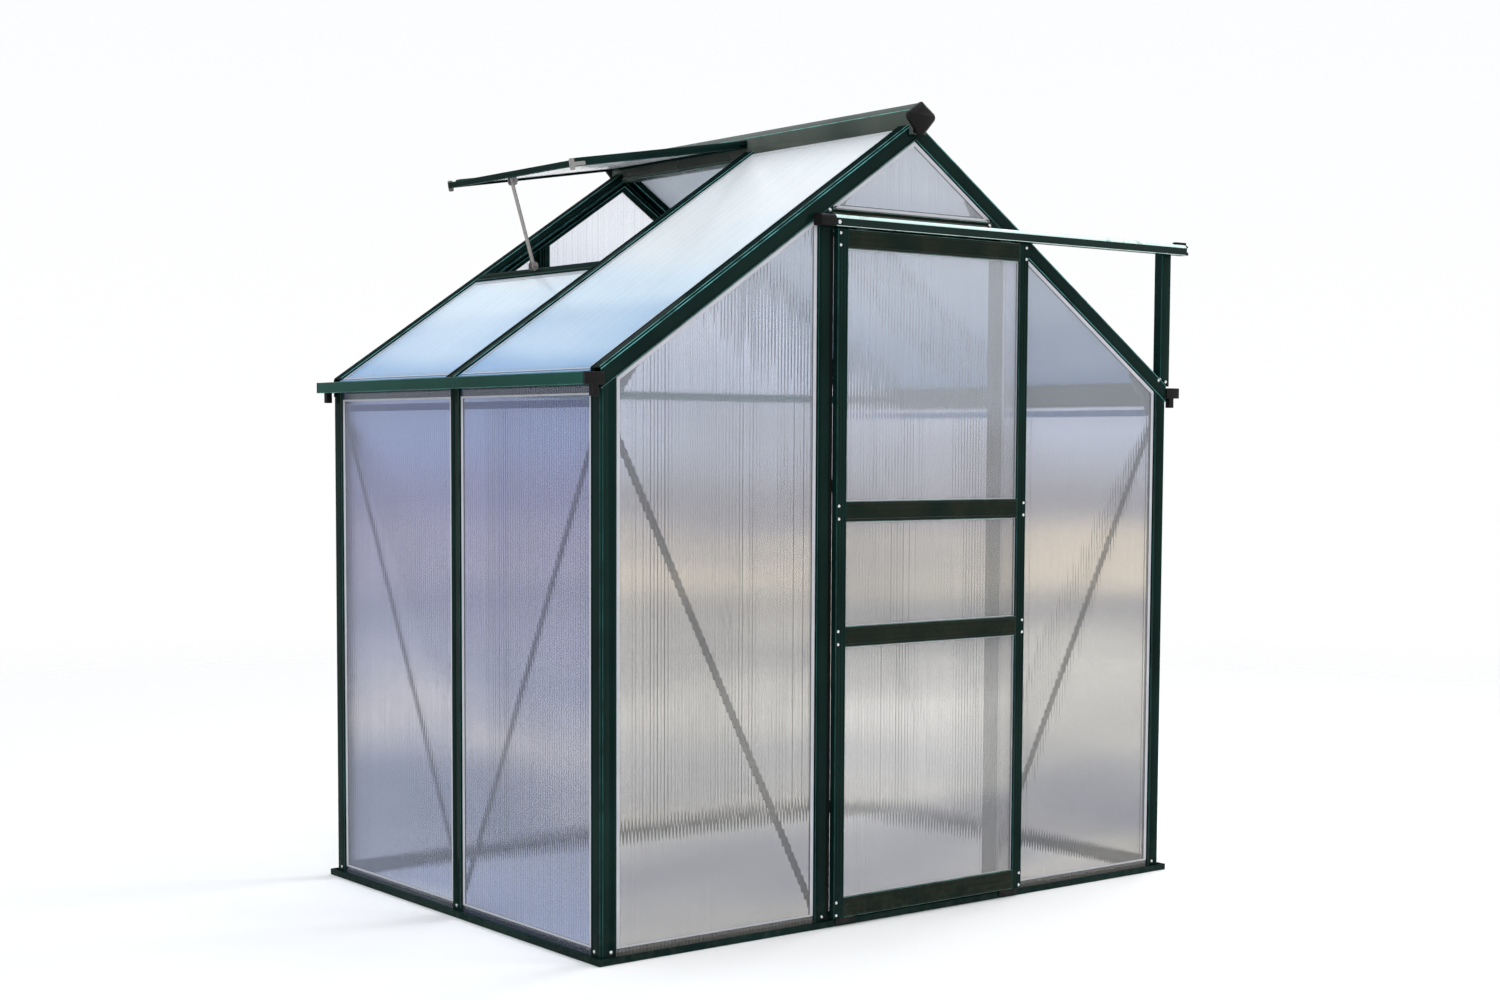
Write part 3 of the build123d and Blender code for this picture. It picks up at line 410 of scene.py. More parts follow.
BRACE_COAT = layered_finish(
    "brace_coat", base=(0.0025, 0.0035, 0.0065), second=(0.0050, 0.0070, 0.0120),
    arris_glint_and_wear=((0.03, 0.04, 0.05), 0.5), dust=((0.20, 0.19, 0.17), 0.15), grain=(900.0, 9.0),
    rough=(0.35, 0.5), bump=0.05, Specular_IOR_Level=0.08,
)
STAY_COAT = layered_finish(
    "stay_coat", base=(0.26, 0.245, 0.23), second=(0.33, 0.315, 0.30),
    arris_glint_and_wear=((0.5, 0.49, 0.48), 0.5), dust=((0.30, 0.28, 0.25), 0.2), grain=(900.0, 14.0),
    rough=(0.3, 0.45), bump=0.05, Metallic=0.6,
)
TEAL_COAT = layered_finish(
    "teal_coat", base=(0.003, 0.075, 0.080), second=(0.005, 0.090, 0.096),
    arris_glint_and_wear=((0.02, 0.15, 0.16), 0.6), dust=(GREY_DUST, 0.15), grain=(COAT_GRAIN, 5.0),
    rough=(0.25, 0.35), bump=0.05, Specular_IOR_Level=0.08,
)
TIE_COAT = layered_finish(
    "tie_coat", base=(0.004, 0.120, 0.340), second=(0.006, 0.140, 0.380),
    arris_glint_and_wear=((0.05, 0.20, 0.45), 0.5), dust=(GREY_DUST, 0.15), grain=(900.0, 9.0),
    rough=(0.35, 0.5), bump=0.05, Specular_IOR_Level=0.2,
)
ZINC_STEEL = layered_finish(
    "zinc_steel", base=(0.035, 0.035, 0.036), second=(0.060, 0.060, 0.060),
    arris_glint_and_wear=((0.15, 0.15, 0.15), 0.5), dust=((0.30, 0.28, 0.24), 0.2), grain=(900.0, 60.0),
    rough=(0.32, 0.48), bump=0.03, Metallic=1.0,
)
BRIGHT_STEEL = layered_finish(
    "bright_steel", base=(0.78, 0.79, 0.80), second=(0.86, 0.86, 0.87),
    arris_glint_and_wear=((0.92, 0.92, 0.92), 0.4), dust=((0.35, 0.33, 0.30), 0.1), grain=(1200.0, 80.0),
    rough=(0.14, 0.24), bump=0.02, Metallic=1.0,
)
NYLON = layered_finish(
    "nylon", base=(0.030, 0.030, 0.031), second=(0.045, 0.045, 0.045),
    arris_glint_and_wear=((0.10, 0.10, 0.10), 0.4), dust=((0.20, 0.19, 0.16), 0.2), grain=(1500.0, 30.0),
    rough=(0.40, 0.5), bump=0.05,
)
PALE_SEAL = layered_finish(
    "pale_seal", base=(0.42, 0.43, 0.47), second=(0.50, 0.51, 0.55),
    arris_glint_and_wear=((0.60, 0.62, 0.66), 0.4), dust=((0.45, 0.43, 0.38), 0.25), grain=(1300.0, 14.0),
    rough=(0.35, 0.5), bump=0.05, Specular_IOR_Level=0.3,
)
print("finishes:", len(bpy.data.materials) - 1)

# %% [markdown]
# The sheet is a clear, faintly blue plastic with two skins and ribs between them. A real ray tracer
# would spend all its time inside the cells, so the sheet is one plate whose two faces are rolled
# into shallow flutes. Each flute is a weak lens: it smears what is far behind sideways and leaves
# what is close, such as the braces, readable. Part of the light is scattered, as the ribs do it.
# A wall of such sheets also mirrors and passes on broad bands of its surroundings: pale ground,
# a darker distance, sky. They are laid into the sheet as levels of colour by height, drifting a
# little. The right slope lies close under a lamp, so its levels are dimmer than the left one's.

# %% Twin-wall sheet
FLUTE_PITCH = 10 * MM
RIB_EDGE, RIB_CORE = 0.16, 0.02
BAND_SCALE, BAND_STRETCH = 2.6, (0.42, 2.0, 1.0)
SHEET_SPECULAR, SHEET_IOR = 0.3, 1.45


def make_flute_marks():
    """Ribs is a thin line at every flute, some stronger; the other output is the drifting height of
    the painted reflections.
    """
    settings = [("Pitch", FLUTE_PITCH), ("Drift", 0.2)]
    group, into, out = new_group("flute_marks", settings, ["Ribs", "Reflection Height"])
    across = group.nodes.new("ShaderNodeSeparateXYZ")
    group.links.new(group.nodes.new("ShaderNodeUVMap").outputs["UV"], across.inputs["Vector"])
    count = group.nodes.new("ShaderNodeMath")
    count.operation = "DIVIDE"
    group.links.new(across.outputs["X"], count.inputs[0])
    group.links.new(into.outputs["Pitch"], count.inputs[1])
    wave = group.nodes.new("ShaderNodeMath")
    wave.operation = "PINGPONG"
    wave.inputs[1].default_value = 0.5
    group.links.new(count.outputs["Value"], wave.inputs[0])
    rib = remap(group, wave.outputs["Value"], RIB_EDGE, RIB_CORE)
    strength = group.nodes.new("ShaderNodeTexNoise")
    strength.noise_dimensions = "1D"
    strength.inputs["Scale"].default_value = 0.7
    strength.inputs["Detail"].default_value = 1.0
    group.links.new(count.outputs["Value"], strength.inputs["W"])
    uneven = remap(group, strength.outputs["Fac"], 0.35, 0.65)
    group.links.new(times(group, rib, uneven), out.inputs["Ribs"])
    place = group.nodes.new("ShaderNodeSeparateXYZ")
    group.links.new(group.nodes.new("ShaderNodeTexCoord").outputs["Object"], place.inputs["Vector"])
    wander = group.nodes.new("ShaderNodeTexNoise")
    wander.noise_dimensions = "2D"
    wander.inputs["Scale"].default_value = BAND_SCALE
    wander.inputs["Detail"].default_value = 0.0
    flatten = group.nodes.new("ShaderNodeVectorMath")
    flatten.operation = "MULTIPLY"
    flatten.inputs[1].default_value = BAND_STRETCH
    group.links.new(group.nodes.new("ShaderNodeUVMap").outputs["UV"], flatten.inputs[0])
    group.links.new(flatten.outputs["Vector"], wander.inputs["Vector"])
    level = group.nodes.new("ShaderNodeMath")
    group.links.new(place.outputs["Z"], level.inputs[0])
    group.links.new(times(group, wander.outputs["Fac"], into.outputs["Drift"]), level.inputs[1])
    group.links.new(level.outputs["Value"], out.inputs["Reflection Height"])
    return group


FLUTE_MARKS = make_flute_marks()


def sheet_finish(name, levels, rib_colour, rib_share, transmission, rough):
    """Levels are painted reflections as (height in metres, colour) from the ground up, rough is
    (between, on) the ribs.
    """
    material = bpy.data.materials.new(name)
    material.use_nodes = True
    tree = material.node_tree
    surface = tree.nodes["Principled BSDF"]
    marks = place_group(tree, FLUTE_MARKS, Pitch=FLUTE_PITCH)
    top = levels[-1][0]
    ramp = tree.nodes.new("ShaderNodeValToRGB")
    ramp.color_ramp.interpolation = "EASE"
    stops = ramp.color_ramp.elements
    for i, (height, colour) in enumerate(levels):
        stop = stops[i] if i < 2 else stops.new(height / top)
        stop.position, stop.color = height / top, (*colour, 1.0)
    tree.links.new(remap(tree, marks["Reflection Height"], 0.0, top), ramp.inputs["Fac"])
    rib_mask = times(tree, marks["Ribs"], rib_share)
    colour = blend_colour(tree, rib_mask, ramp.outputs["Color"], rib_colour)
    tree.links.new(colour, surface.inputs["Base Color"])
    spread = remap(tree, marks["Ribs"], 0.0, 1.0)
    spread.node.inputs["To Min"].default_value = rough[0]
    spread.node.inputs["To Max"].default_value = rough[1]
    tree.links.new(spread, surface.inputs["Roughness"])
    surface.inputs["Transmission Weight"].default_value = transmission
    surface.inputs["Specular IOR Level"].default_value = SHEET_SPECULAR
    surface.inputs["IOR"].default_value = SHEET_IOR
    surface.inputs["Metallic"].default_value = 0.0
    return material


# Painted reflections: each level is the colour of a band of the surroundings that the sheets mirror
# and pass on, pale ground, a darker distance and sky; the blue of the side wall is mirrored sky.
GABLE_LEVELS = [
    (0.0, (0.66, 0.635, 0.60)), (0.16, (0.62, 0.60, 0.575)), (0.27, (0.47, 0.47, 0.50)),
    (0.42, (0.66, 0.645, 0.625)), (0.64, (0.76, 0.745, 0.715)), (0.80, (0.58, 0.57, 0.57)),
    (0.95, (0.79, 0.745, 0.68)), (1.12, (0.56, 0.555, 0.585)), (1.40, (0.66, 0.69, 0.765)),
    (1.75, (0.80, 0.83, 0.90)), (2.0, (0.93, 0.95, 1.0)),
]
DOOR_LEVELS = [
    (0.0, (0.66, 0.635, 0.60)), (0.16, (0.62, 0.60, 0.575)), (0.27, (0.49, 0.49, 0.52)),
    (0.42, (0.76, 0.75, 0.73)), (0.64, (0.88, 0.865, 0.84)), (0.80, (0.50, 0.50, 0.51)),
    (0.95, (0.66, 0.635, 0.60)), (1.12, (0.56, 0.555, 0.585)), (1.40, (0.70, 0.73, 0.80)),
    (1.75, (0.79, 0.825, 0.90)),
]
SIDE_LEVELS = [
    (0.0, (0.88, 0.94, 0.98)), (0.16, (0.40, 0.45, 0.61)), (0.34, (0.38, 0.42, 0.55)),
    (0.56, (0.66, 0.655, 0.73)), (0.74, (0.42, 0.45, 0.61)), (1.05, (0.39, 0.40, 0.60)),
    (1.40, (0.36, 0.42, 0.63)),
]
ROOF_LEVELS = [
    (0.0, (0.19, 0.40, 0.68)), (1.45, (0.23, 0.45, 0.73)), (1.66, (0.74, 0.87, 0.97)),
    (1.86, (0.94, 0.96, 0.97)),
]
# Painted shade: the right slope's reflections are dimmed because a lamp lights that slope strongly.
LIT_ROOF_LEVELS = [
    (0.0, (0.19, 0.34, 0.52)), (1.45, (0.22, 0.38, 0.57)), (1.66, (0.50, 0.60, 0.69)),
    (1.86, (0.64, 0.69, 0.74)),
]
GABLE_SHEET = sheet_finish(
    "gable_sheet", GABLE_LEVELS, rib_colour=(0.30, 0.30, 0.32), rib_share=0.28,
    transmission=0.86, rough=(0.035, 0.12),
)
DOOR_SHEET = sheet_finish(
    "door_sheet", DOOR_LEVELS, rib_colour=(0.30, 0.30, 0.32), rib_share=0.28,
    transmission=0.78, rough=(0.05, 0.12),
)
SIDE_SHEET = sheet_finish(
    "side_sheet", SIDE_LEVELS, rib_colour=(0.16, 0.17, 0.30), rib_share=0.55,
    transmission=0.87, rough=(0.03, 0.12),
)
ROOF_SHEET = sheet_finish(
    "roof_sheet", ROOF_LEVELS, rib_colour=(0.30, 0.48, 0.70), rib_share=0.4,
    transmission=0.42, rough=(0.08, 0.18),
)
LIT_ROOF_SHEET = sheet_finish(
    "lit_roof_sheet", LIT_ROOF_LEVELS, rib_colour=(0.30, 0.40, 0.52), rib_share=0.4,
    transmission=0.42, rough=(0.08, 0.18),
)
print("sheet finishes: gable, door, side, roof, lit roof")

# %% [markdown]
# An extruded bar never has a knife edge. Each bar is copied from its CAD node, its triangles are
# joined back to flat faces, and the long outer arrises are bevelled. The strips that the bevel
# makes are remembered in a float attribute, which carries the painted highlight of the arris.
# Short edges and thin lips stay as they are, since a bevel there would only make slivers.

# %% Round the arrises of the bars
WELD, FLAT_TURN = 0.002 * MM, math.radians(0.4)
LEAST_TURN, LEAST_FACE = math.radians(30), 2.6


def clean_solid(node):
    """A bmesh of a CAD node with welded corners and flat faces."""
    work = bmesh.new()
    work.from_mesh(nodes[node].data)
    bmesh.ops.remove_doubles(work, verts=work.verts, dist=WELD)
    bmesh.ops.dissolve_limit(work, angle_limit=FLAT_TURN, verts=work.verts, edges=work.edges)
    work.normal_update()
    return work


def long_arrises(work, radius, shortest):
    """Convex edges that are long, sharp and free enough for a bevel."""
    chosen = []
    for edge in work.edges:
        if len(edge.link_faces) != 2 or not edge.is_convex or edge.calc_length() < shortest:
            continue
        if edge.calc_face_angle(0) < LEAST_TURN:
            continue
        widths = [face.calc_area() / edge.calc_length() for face in edge.link_faces]
        if min(widths) > LEAST_FACE * radius:
            chosen.append(edge)
    return chosen


def finish_mesh(work, name, material, sharp=32.0):
    mesh = bpy.data.meshes.new(name)
    work.to_mesh(mesh)
    work.free()
    mesh.shade_smooth()
    mesh.set_sharp_from_angle(angle=math.radians(sharp))
    mesh.materials.append(material)
    piece = bpy.data.objects.new(name, mesh)
    scene.collection.objects.link(piece)
    return piece


def rounded_bar(node, material, radius=1.2 * MM, shortest=60 * MM, crown=None):
    """Crown, if given, is the range of upward tilt of faces that get an arris's painted highlight.
    """
    work = clean_solid(node)
    mark = work.faces.layers.float.new("arris_glint_and_wear")
    for face in work.faces:
        if crown and crown[0] < face.normal.z < crown[1]:
            face[mark] = 1.0
    edges = long_arrises(work, radius, shortest)
    if edges:
        made = bmesh.ops.bevel(
            work, geom=edges, offset=radius, offset_type="OFFSET", segments=2, profile=0.5,
            affect="EDGES", clamp_overlap=True,
        )
        for face in made["faces"]:
            face[mark] = 1.0
    piece = finish_mesh(work, node + "_bar", material)
    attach(piece, nodes[node]["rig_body"])
    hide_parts(node)
    return len(edges)


SINGLE_GREEN = (
    "side_studs", "back_studs", "door_jambs", "track_strut", "vent_rails", "vent_side_bars",
    "door_stiles",
)
GREEN_NODES = [
    n for n in nodes
    if n.startswith("corner_post") or n.endswith("_sill") or n in SINGLE_GREEN
]
arrises = sum(rounded_bar(n, GREEN_COAT) for n in GREEN_NODES)
arrises += sum(rounded_bar(n, RAIL_COAT) for n in ("door_rails", "door_header"))
arrises += sum(rounded_bar(n, RAFTER_COAT) for n in nodes if "rafter" in n)
arrises += sum(rounded_bar(n, GUTTER_COAT) for n in ("left_gutter", "right_gutter"))
arrises += rounded_bar("ridge_beam", RIDGE_SHEEN_COAT)
arrises += rounded_bar("back_crossbar", TEAL_COAT)
# The upward faces of the track's rolled crown get the painted highlight.
arrises += rounded_bar("door_track", CROWN_GLINT_COAT, crown=(0.2, 0.9))
print(len(GREEN_NODES), "green bars,", arrises, "arrises rounded")

# %% [markdown]
# The plastic caps are moulded, so all their outer edges are rounded, short ones too. The flat bars
# of the bracing, the hangers and the rollers keep their CAD shape and only get their finish.

# %% Caps, bracing and running gear
BLACK_NODES = ["gutter_end_caps", "ridge_end_caps", "track_end_caps", "door_guides"]
for n in BLACK_NODES:
    rounded_bar(n, BLACK_PLASTIC, radius=0.9 * MM, shortest=4 * MM)

PLAIN_FINISH = {
    MILL_ALUMINIUM: ["eave_gussets", "header_gussets"],
    STAY_COAT: ["vent_stay"],
    BRACE_COAT: ["front_braces", "back_braces", "side_braces"],
    TIE_COAT: ["side_ties"],
    ZINC_STEEL: ["door_hangers"],
    NYLON: ["door_rollers"],
}
for material, names in PLAIN_FINISH.items():
    for n in names:
        nodes[n].data.materials.clear()
        nodes[n].data.materials.append(material)
print("black caps:", len(BLACK_NODES), "plain nodes:", sum(len(v) for v in PLAIN_FINISH.values()))

# %% [markdown]
# Each sheet is rebuilt from its CAD solid: the outward face gives the outline, the distance to the
# face behind it gives the thickness. The flutes run up the wall or up the slope. The outline is cut
# into narrow strips across the flutes, and every strip edge is pushed out or in by a cosine, a
# little unevenly, as in a real extruded sheet. The front and the back bulge together, like lenses.
# The sheets throw no shadow, because a house of clear plastic is as bright inside as outside.

# %% Fluted sheets
FLUTE_DEPTH, STRIPS_PER_FLUTE, SWELL_RANGE = 0.18 * MM, 6, (0.7, 1.25)
LEAST_STRIP = 0.05 * MM
UPRIGHT_EDGE, ON_EDGE = 1e-9, 1e-7
HOUSE_HEART = Vector((0, 0, 1.0))


def solids_of(node):
    """The separate solids of a CAD node, each as a list of its flat faces (points, normal)."""
    work = clean_solid(node)
    seen, found = set(), []
    for first in work.verts:
        if first in seen:
            continue
        island, reach = {}, [first]
        while reach:
            vert = reach.pop()
            if vert in island:
                continue
            island[vert] = True
            reach.extend(edge.other_vert(vert) for edge in vert.link_edges)
        seen.update(island)
        faces = dict.fromkeys(face for vert in island for face in vert.link_faces)
        found.append([([v.co.copy() for v in f.verts], f.normal.copy()) for f in faces])
    work.free()
    return found


def area_of(points):
    """Area of a flat outline in space."""
    total = Vector((0, 0, 0))
    for a, b in zip(points, points[1:] + points[:1]):
        total += a.cross(b)
    return total.length / 2


def sheet_face(faces):
    """The outline of a sheet's outward face, its normal and the sheet's thickness."""
    wide = sorted(faces, key=lambda f: area_of(f[0]), reverse=True)[:2]
    middle = sum((p for f in wide for p in f[0]), Vector()) / sum(len(f[0]) for f in wide)
    outer = max(wide, key=lambda f: f[1].dot(middle - HOUSE_HEART))
    inner = min(wide, key=lambda f: f[1].dot(middle - HOUSE_HEART))
    return outer[0], outer[1], abs((outer[0][0] - inner[0][0]).dot(outer[1]))


def sheet_axes(normal):
    """The directions across the flutes and along them, uphill."""
    run = (Vector((0, 0, 1)) - normal * normal.z).normalized()
    return run.cross(normal), run


def flat_outline(points, origin, across, run):
    return [((p - origin).dot(across), (p - origin).dot(run)) for p in points]


def span_at(outline, u):
    """The lowest and the highest point of an outline at u across it."""
    hits = []
    for (u0, v0), (u1, v1) in zip(outline, outline[1:] + outline[:1]):
        if abs(u1 - u0) < UPRIGHT_EDGE:
            if abs(u - u0) < ON_EDGE:
                hits += [v0, v1]
        elif min(u0, u1) - ON_EDGE <= u <= max(u0, u1) + ON_EDGE:
            hits.append(v0 + (v1 - v0) * (u - u0) / (u1 - u0))
    return min(hits), max(hits)


def fluted_sheet(work, faces, uneven):
    points, normal, thickness = sheet_face(faces)
    across, run = sheet_axes(normal)
    origin = points[0]
    outline = flat_outline(points, origin, across, run)
    low, high = min(u for u, _ in outline), max(u for u, _ in outline)
    strips = round((high - low) / FLUTE_PITCH) * STRIPS_PER_FLUTE
    even = {low + (high - low) * i / strips for i in range(strips + 1)}
    stations = sorted(even | {u for u, _ in outline})
    stations = [u for i, u in enumerate(stations) if i == 0 or u - stations[i - 1] > LEAST_STRIP]
    uv_layer = work.loops.layers.uv.verify()
    swell, columns = 1.0, []
    for i, u in enumerate(stations):
        if i % STRIPS_PER_FLUTE == 0:
            swell = uneven.uniform(*SWELL_RANGE)
        bulge = FLUTE_DEPTH * swell * math.cos(2 * math.pi * (u - low) / FLUTE_PITCH)
        v0, v1 = span_at(outline, u)
        back = -thickness - bulge
        corners = []
        for v, out in ((v0, bulge), (v1, bulge), (v1, back), (v0, back)):
            corners.append(work.verts.new(origin + across * u + run * v + normal * out))
        columns.append((u, (v0, v1, v1, v0), corners))
    for (u0, vs0, a), (u1, vs1, b) in zip(columns, columns[1:]):
        for k in range(4):
            m = (k + 1) % 4
            face = work.faces.new((a[k], b[k], b[m], a[m]))
            places = (u0, vs0[k]), (u1, vs1[k]), (u1, vs1[m]), (u0, vs0[m])
            for loop, uv in zip(face.loops, places):
                loop[uv_layer].uv = uv
    for _, _, corners in (columns[0], columns[-1]):
        work.faces.new(corners)


def sheets_for(node, material, body):
    work = bmesh.new()
    uneven = random.Random(node)
    for faces in solids_of(node):
        fluted_sheet(work, faces, uneven)
    bmesh.ops.recalc_face_normals(work, faces=work.faces)
    piece = finish_mesh(work, node + "_sheet", material, sharp=50.0)
    piece.visible_shadow = False
    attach(piece, body)
    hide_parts(node)
    return len(piece.data.polygons)


SHEET_NODES = {
    GABLE_SHEET: [
        "front_side_panels", "front_gable_panel", "back_wall_panels", "right_wall_panels",
    ],
    DOOR_SHEET: ["door_panes"],
    SIDE_SHEET: ["left_wall_panels"],
    ROOF_SHEET: ["left_roof_panels", "vent_panel"],
    LIT_ROOF_SHEET: ["right_roof_panels"],
}
for material, names in SHEET_NODES.items():
    for n in names:
        print(n, sheets_for(n, material, nodes[n]["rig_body"]), "faces")

# %% [markdown]
# A pale rubber bead holds every sheet in its bars and shows as a thin light line beside them. On
# the real house it is pressed in from a roll. Here it is a closed frame on the outside of each
# sheet: the outline is moved inwards by what the bars cover, and five such loops make the profile
# of the bead.

# %% Glazing beads
BEAD_HEIGHT, BEAD_LIFT, BEAD_WELD = 1.2 * MM, 0.25 * MM, 0.001 * MM
# Across the bead and up from the sheet, as shares of its width and of its height.
BEAD_PROFILE = (-0.1, 0.0), (-0.1, 1.0), (0.8, 1.0), (1.0, 0.4), (1.0, 0.0)


def inset_outline(outline, insets):
    """A convex outline with every edge moved inwards by its own amount."""
    area = sum(a[0] * b[1] - b[0] * a[1] for a, b in zip(outline, outline[1:] + outline[:1]))
    side = 1.0 if area > 0 else -1.0
    lines = []
    for (a, b), inset in zip(zip(outline, outline[1:] + outline[:1]), insets):
        along = (Vector(b) - Vector(a)).normalized()
        inward = Vector((-along.y, along.x)) * side
        lines.append((Vector(a) + inward * inset, along))
    corners = []
    for (p, d), (q, e) in zip(lines[-1:] + lines[:-1], lines):
        cross = d.x * e.y - d.y * e.x
        offset = q - p
        corners.append(p + d * ((offset.x * e.y - offset.y * e.x) / cross))
    return corners


def by_edge(outline, amounts):
    """One amount per edge of a sheet, from those for foot, head and other edges."""
    foot, head, other = amounts
    low, high = min(v for _, v in outline), max(v for _, v in outline)
    found = []
    for a, b in zip(outline, outline[1:] + outline[:1]):
        level = abs(a[1] - b[1]) < 0.5 * MM
        if level and a[1] < low + MM:
            found.append(foot)
        elif level and a[1] > high - MM:
            found.append(head)
        else:
            found.append(other)
    return found


def bead_frame(work, faces, covers, widths):
    points, normal, _ = sheet_face(faces)
    across, run = sheet_axes(normal)
    outline = flat_outline(points, points[0], across, run)
    hidden, shown = by_edge(outline, covers), by_edge(outline, widths)
    loops = []
    for share, rise in BEAD_PROFILE:
        ring = inset_outline(outline, [c + share * w for c, w in zip(hidden, shown)])
        base = points[0] + normal * (BEAD_LIFT + rise * BEAD_HEIGHT)
        loops.append([work.verts.new(base + across * p.x + run * p.y) for p in ring])
    for ring, following in zip(loops, loops[1:] + loops[:1]):
        for i in range(len(ring)):
            j = (i + 1) % len(ring)
            work.faces.new((ring[i], ring[j], following[j], following[i]))


def beads_for(node, covers, widths):
    work = bmesh.new()
    for faces in solids_of(node):
        bead_frame(work, faces, [c * MM for c in covers], [w * MM for w in widths])
    bmesh.ops.remove_doubles(work, verts=work.verts, dist=BEAD_WELD)
    bmesh.ops.recalc_face_normals(work, faces=work.faces)
    piece = finish_mesh(work, node + "_bead", PALE_SEAL)
    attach(piece, nodes[node]["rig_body"])
    return len(piece.data.polygons)


# What the bars hide and what is seen of each bead in millimetres: at the foot, the head, elsewhere.
WALL_BEAD = (19, 17, 3), (4, 4, 8)
GABLE_BEAD = (3, 3, 3), (6, 8, 8)
PANE_BEAD = (10, 10, 10), (2, 2, 2)
ROOF_BEAD = (8, 12, 9), (4, 3, 4)
BEADS = {
    "front_side_panels": WALL_BEAD, "back_wall_panels": WALL_BEAD, "front_gable_panel": GABLE_BEAD,
    "left_wall_panels": WALL_BEAD, "right_wall_panels": WALL_BEAD, "door_panes": PANE_BEAD,
    "left_roof_panels": ROOF_BEAD, "right_roof_panels": ROOF_BEAD, "vent_panel": PANE_BEAD,
}
for n, (covers, widths) in BEADS.items():
    print(n, beads_for(n, covers, widths), "bead faces")

# %% [markdown]
# The frame is held by small bright cap screws on washers. One screw is turned from a profile:
# washer, rim, a low dome and a six-sided socket. On the door they sit in pairs at the end of every
# rail. The rest hold the header, the strut and the feet of the posts. All screws of one group are
# one piece. Sizes are in millimetres.

# %% Screws
SEGMENTS = 18
# Out from the axis and up from the face, in washer radii.
SCREW_PROFILE = [
    (0.0, -0.2), (1.0, -0.2), (1.0, 0.14), (0.94, 0.2), (0.74, 0.2), (0.74, 0.48), (0.66, 0.6),
    (0.50, 0.66), (0.36, 0.67), (0.36, 0.38), (0.0, 0.36),
]
SOCKET_RINGS = (8, 9)
DOOR_SCREW, FRAME_SCREW, INSIDE_SCREW, TRACK_SCREW = 3.6, 4.2, 4.0, 5.0
RAIL_END, RAIL_HEIGHTS = 8, (0.15, 0.78)
HEADER_PLACES = (-275, 1745), (256, 1741)
STRUT_PLACES = (905, 1362), (934, 1358)
FOOT_HEIGHT, POST_X, POST_Y, JAMB_X, STUD_X = 26, 909, 619, 286, 297
TRACK_END, TRACK_MIDDLE = 9, 1714


def screw(work, place, outward, size):
    """A cap screw whose washer rests on a face; size is the radius of the washer."""
    outward = Vector(outward).normalized()
    side = outward.orthogonal().normalized()
    other = outward.cross(side)
    rings = []
    for k, (reach, rise) in enumerate(SCREW_PROFILE):
        ring = []
        for i in range(SEGMENTS if reach else 1):
            angle = 2 * math.pi * i / SEGMENTS
            within = angle % (math.pi / 3) - math.pi / 6
            flat = math.cos(math.pi / 6) / math.cos(within) if k in SOCKET_RINGS else 1.0
            spoke = side * math.cos(angle) + other * math.sin(angle)
            step = (spoke * reach * flat + outward * rise) * size
            ring.append(work.verts.new(Vector(place) + step))
        rings.append(ring)
    for a, b in zip(rings, rings[1:]):
        for i in range(SEGMENTS):
            j = (i + 1) % SEGMENTS
            loop = [a[i % len(a)], a[j % len(a)], b[j % len(b)], b[i % len(b)]]
            work.faces.new(list(dict.fromkeys(loop)))


def screws(name, body, places, outward, size):
    work = bmesh.new()
    for place in places:
        screw(work, [v * MM for v in place], outward, size * MM)
    bmesh.ops.recalc_face_normals(work, faces=work.faces)
    piece = finish_mesh(work, name, BRIGHT_STEEL)
    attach(piece, body)
    print(name, len(places), "screws")


def solid_boxes(node):
    """Lowest and highest corner of each solid, in millimetres."""
    found = []
    for faces in solids_of(node):
        points = [p for loop, _ in faces for p in loop]
        found.append([[f(p[k] for p in points) / MM for k in range(3)] for f in (min, max)])
    return found


door_low, door_high = (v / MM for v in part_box("door_stiles"))
rail_ends = []
for low, high in solid_boxes("door_rails"):
    for x in (door_low.x + RAIL_END, door_high.x - RAIL_END):
        heights = [low[2] + share * (high[2] - low[2]) for share in RAIL_HEIGHTS]
        rail_ends += [(x, door_low.y, z) for z in heights]
screws("door_screws", "door", rail_ends, (0, -1, 0), DOOR_SCREW)

wall_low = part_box("corner_post_front_left")[0] / MM
front = wall_low.y
feet = [(x, FOOT_HEIGHT) for x in (-JAMB_X, JAMB_X, -POST_X, POST_X)]
gable_places = [(x, front, z) for x, z in (*HEADER_PLACES, *STRUT_PLACES, *feet)]
screws("gable_screws", "house", gable_places, (0, -1, 0), FRAME_SCREW)
for name, x, way in (("left_foot_screws", wall_low.x, -1), ("right_foot_screws", -wall_low.x, 1)):
    places = [(x, y, FOOT_HEIGHT) for y in (-POST_Y, 0, POST_Y)]
    screws(name, "house", places, (way, 0, 0), FRAME_SCREW)
places = [(x, -front, FOOT_HEIGHT) for x in (-POST_X, -STUD_X, STUD_X, POST_X)]
screws("back_foot_screws", "house", places, (0, 1, 0), FRAME_SCREW)
track_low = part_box("door_track")[0] / MM
places = [(track_low.x + TRACK_END, track_low.y, TRACK_MIDDLE)]
screws("track_screws", "house", places, (0, -1, 0), TRACK_SCREW)

# %% [markdown]
# Inside the house every flat bar ends under a screw, and every gusset plate has one near each
# corner. The places are read from the solids: for a bar, a little in from the middle of each end;
# for a plate, a step from each corner towards the middle.

# %% Screws inside the house
BAR_STEP, PLATE_STEP = 12, 20


def inward_face(faces):
    """The wide face of a plate that looks into the house."""
    wide = sorted(faces, key=lambda f: area_of(f[0]), reverse=True)[:2]
    return max(wide, key=lambda f: f[1].dot(HOUSE_HEART - f[0][0]))


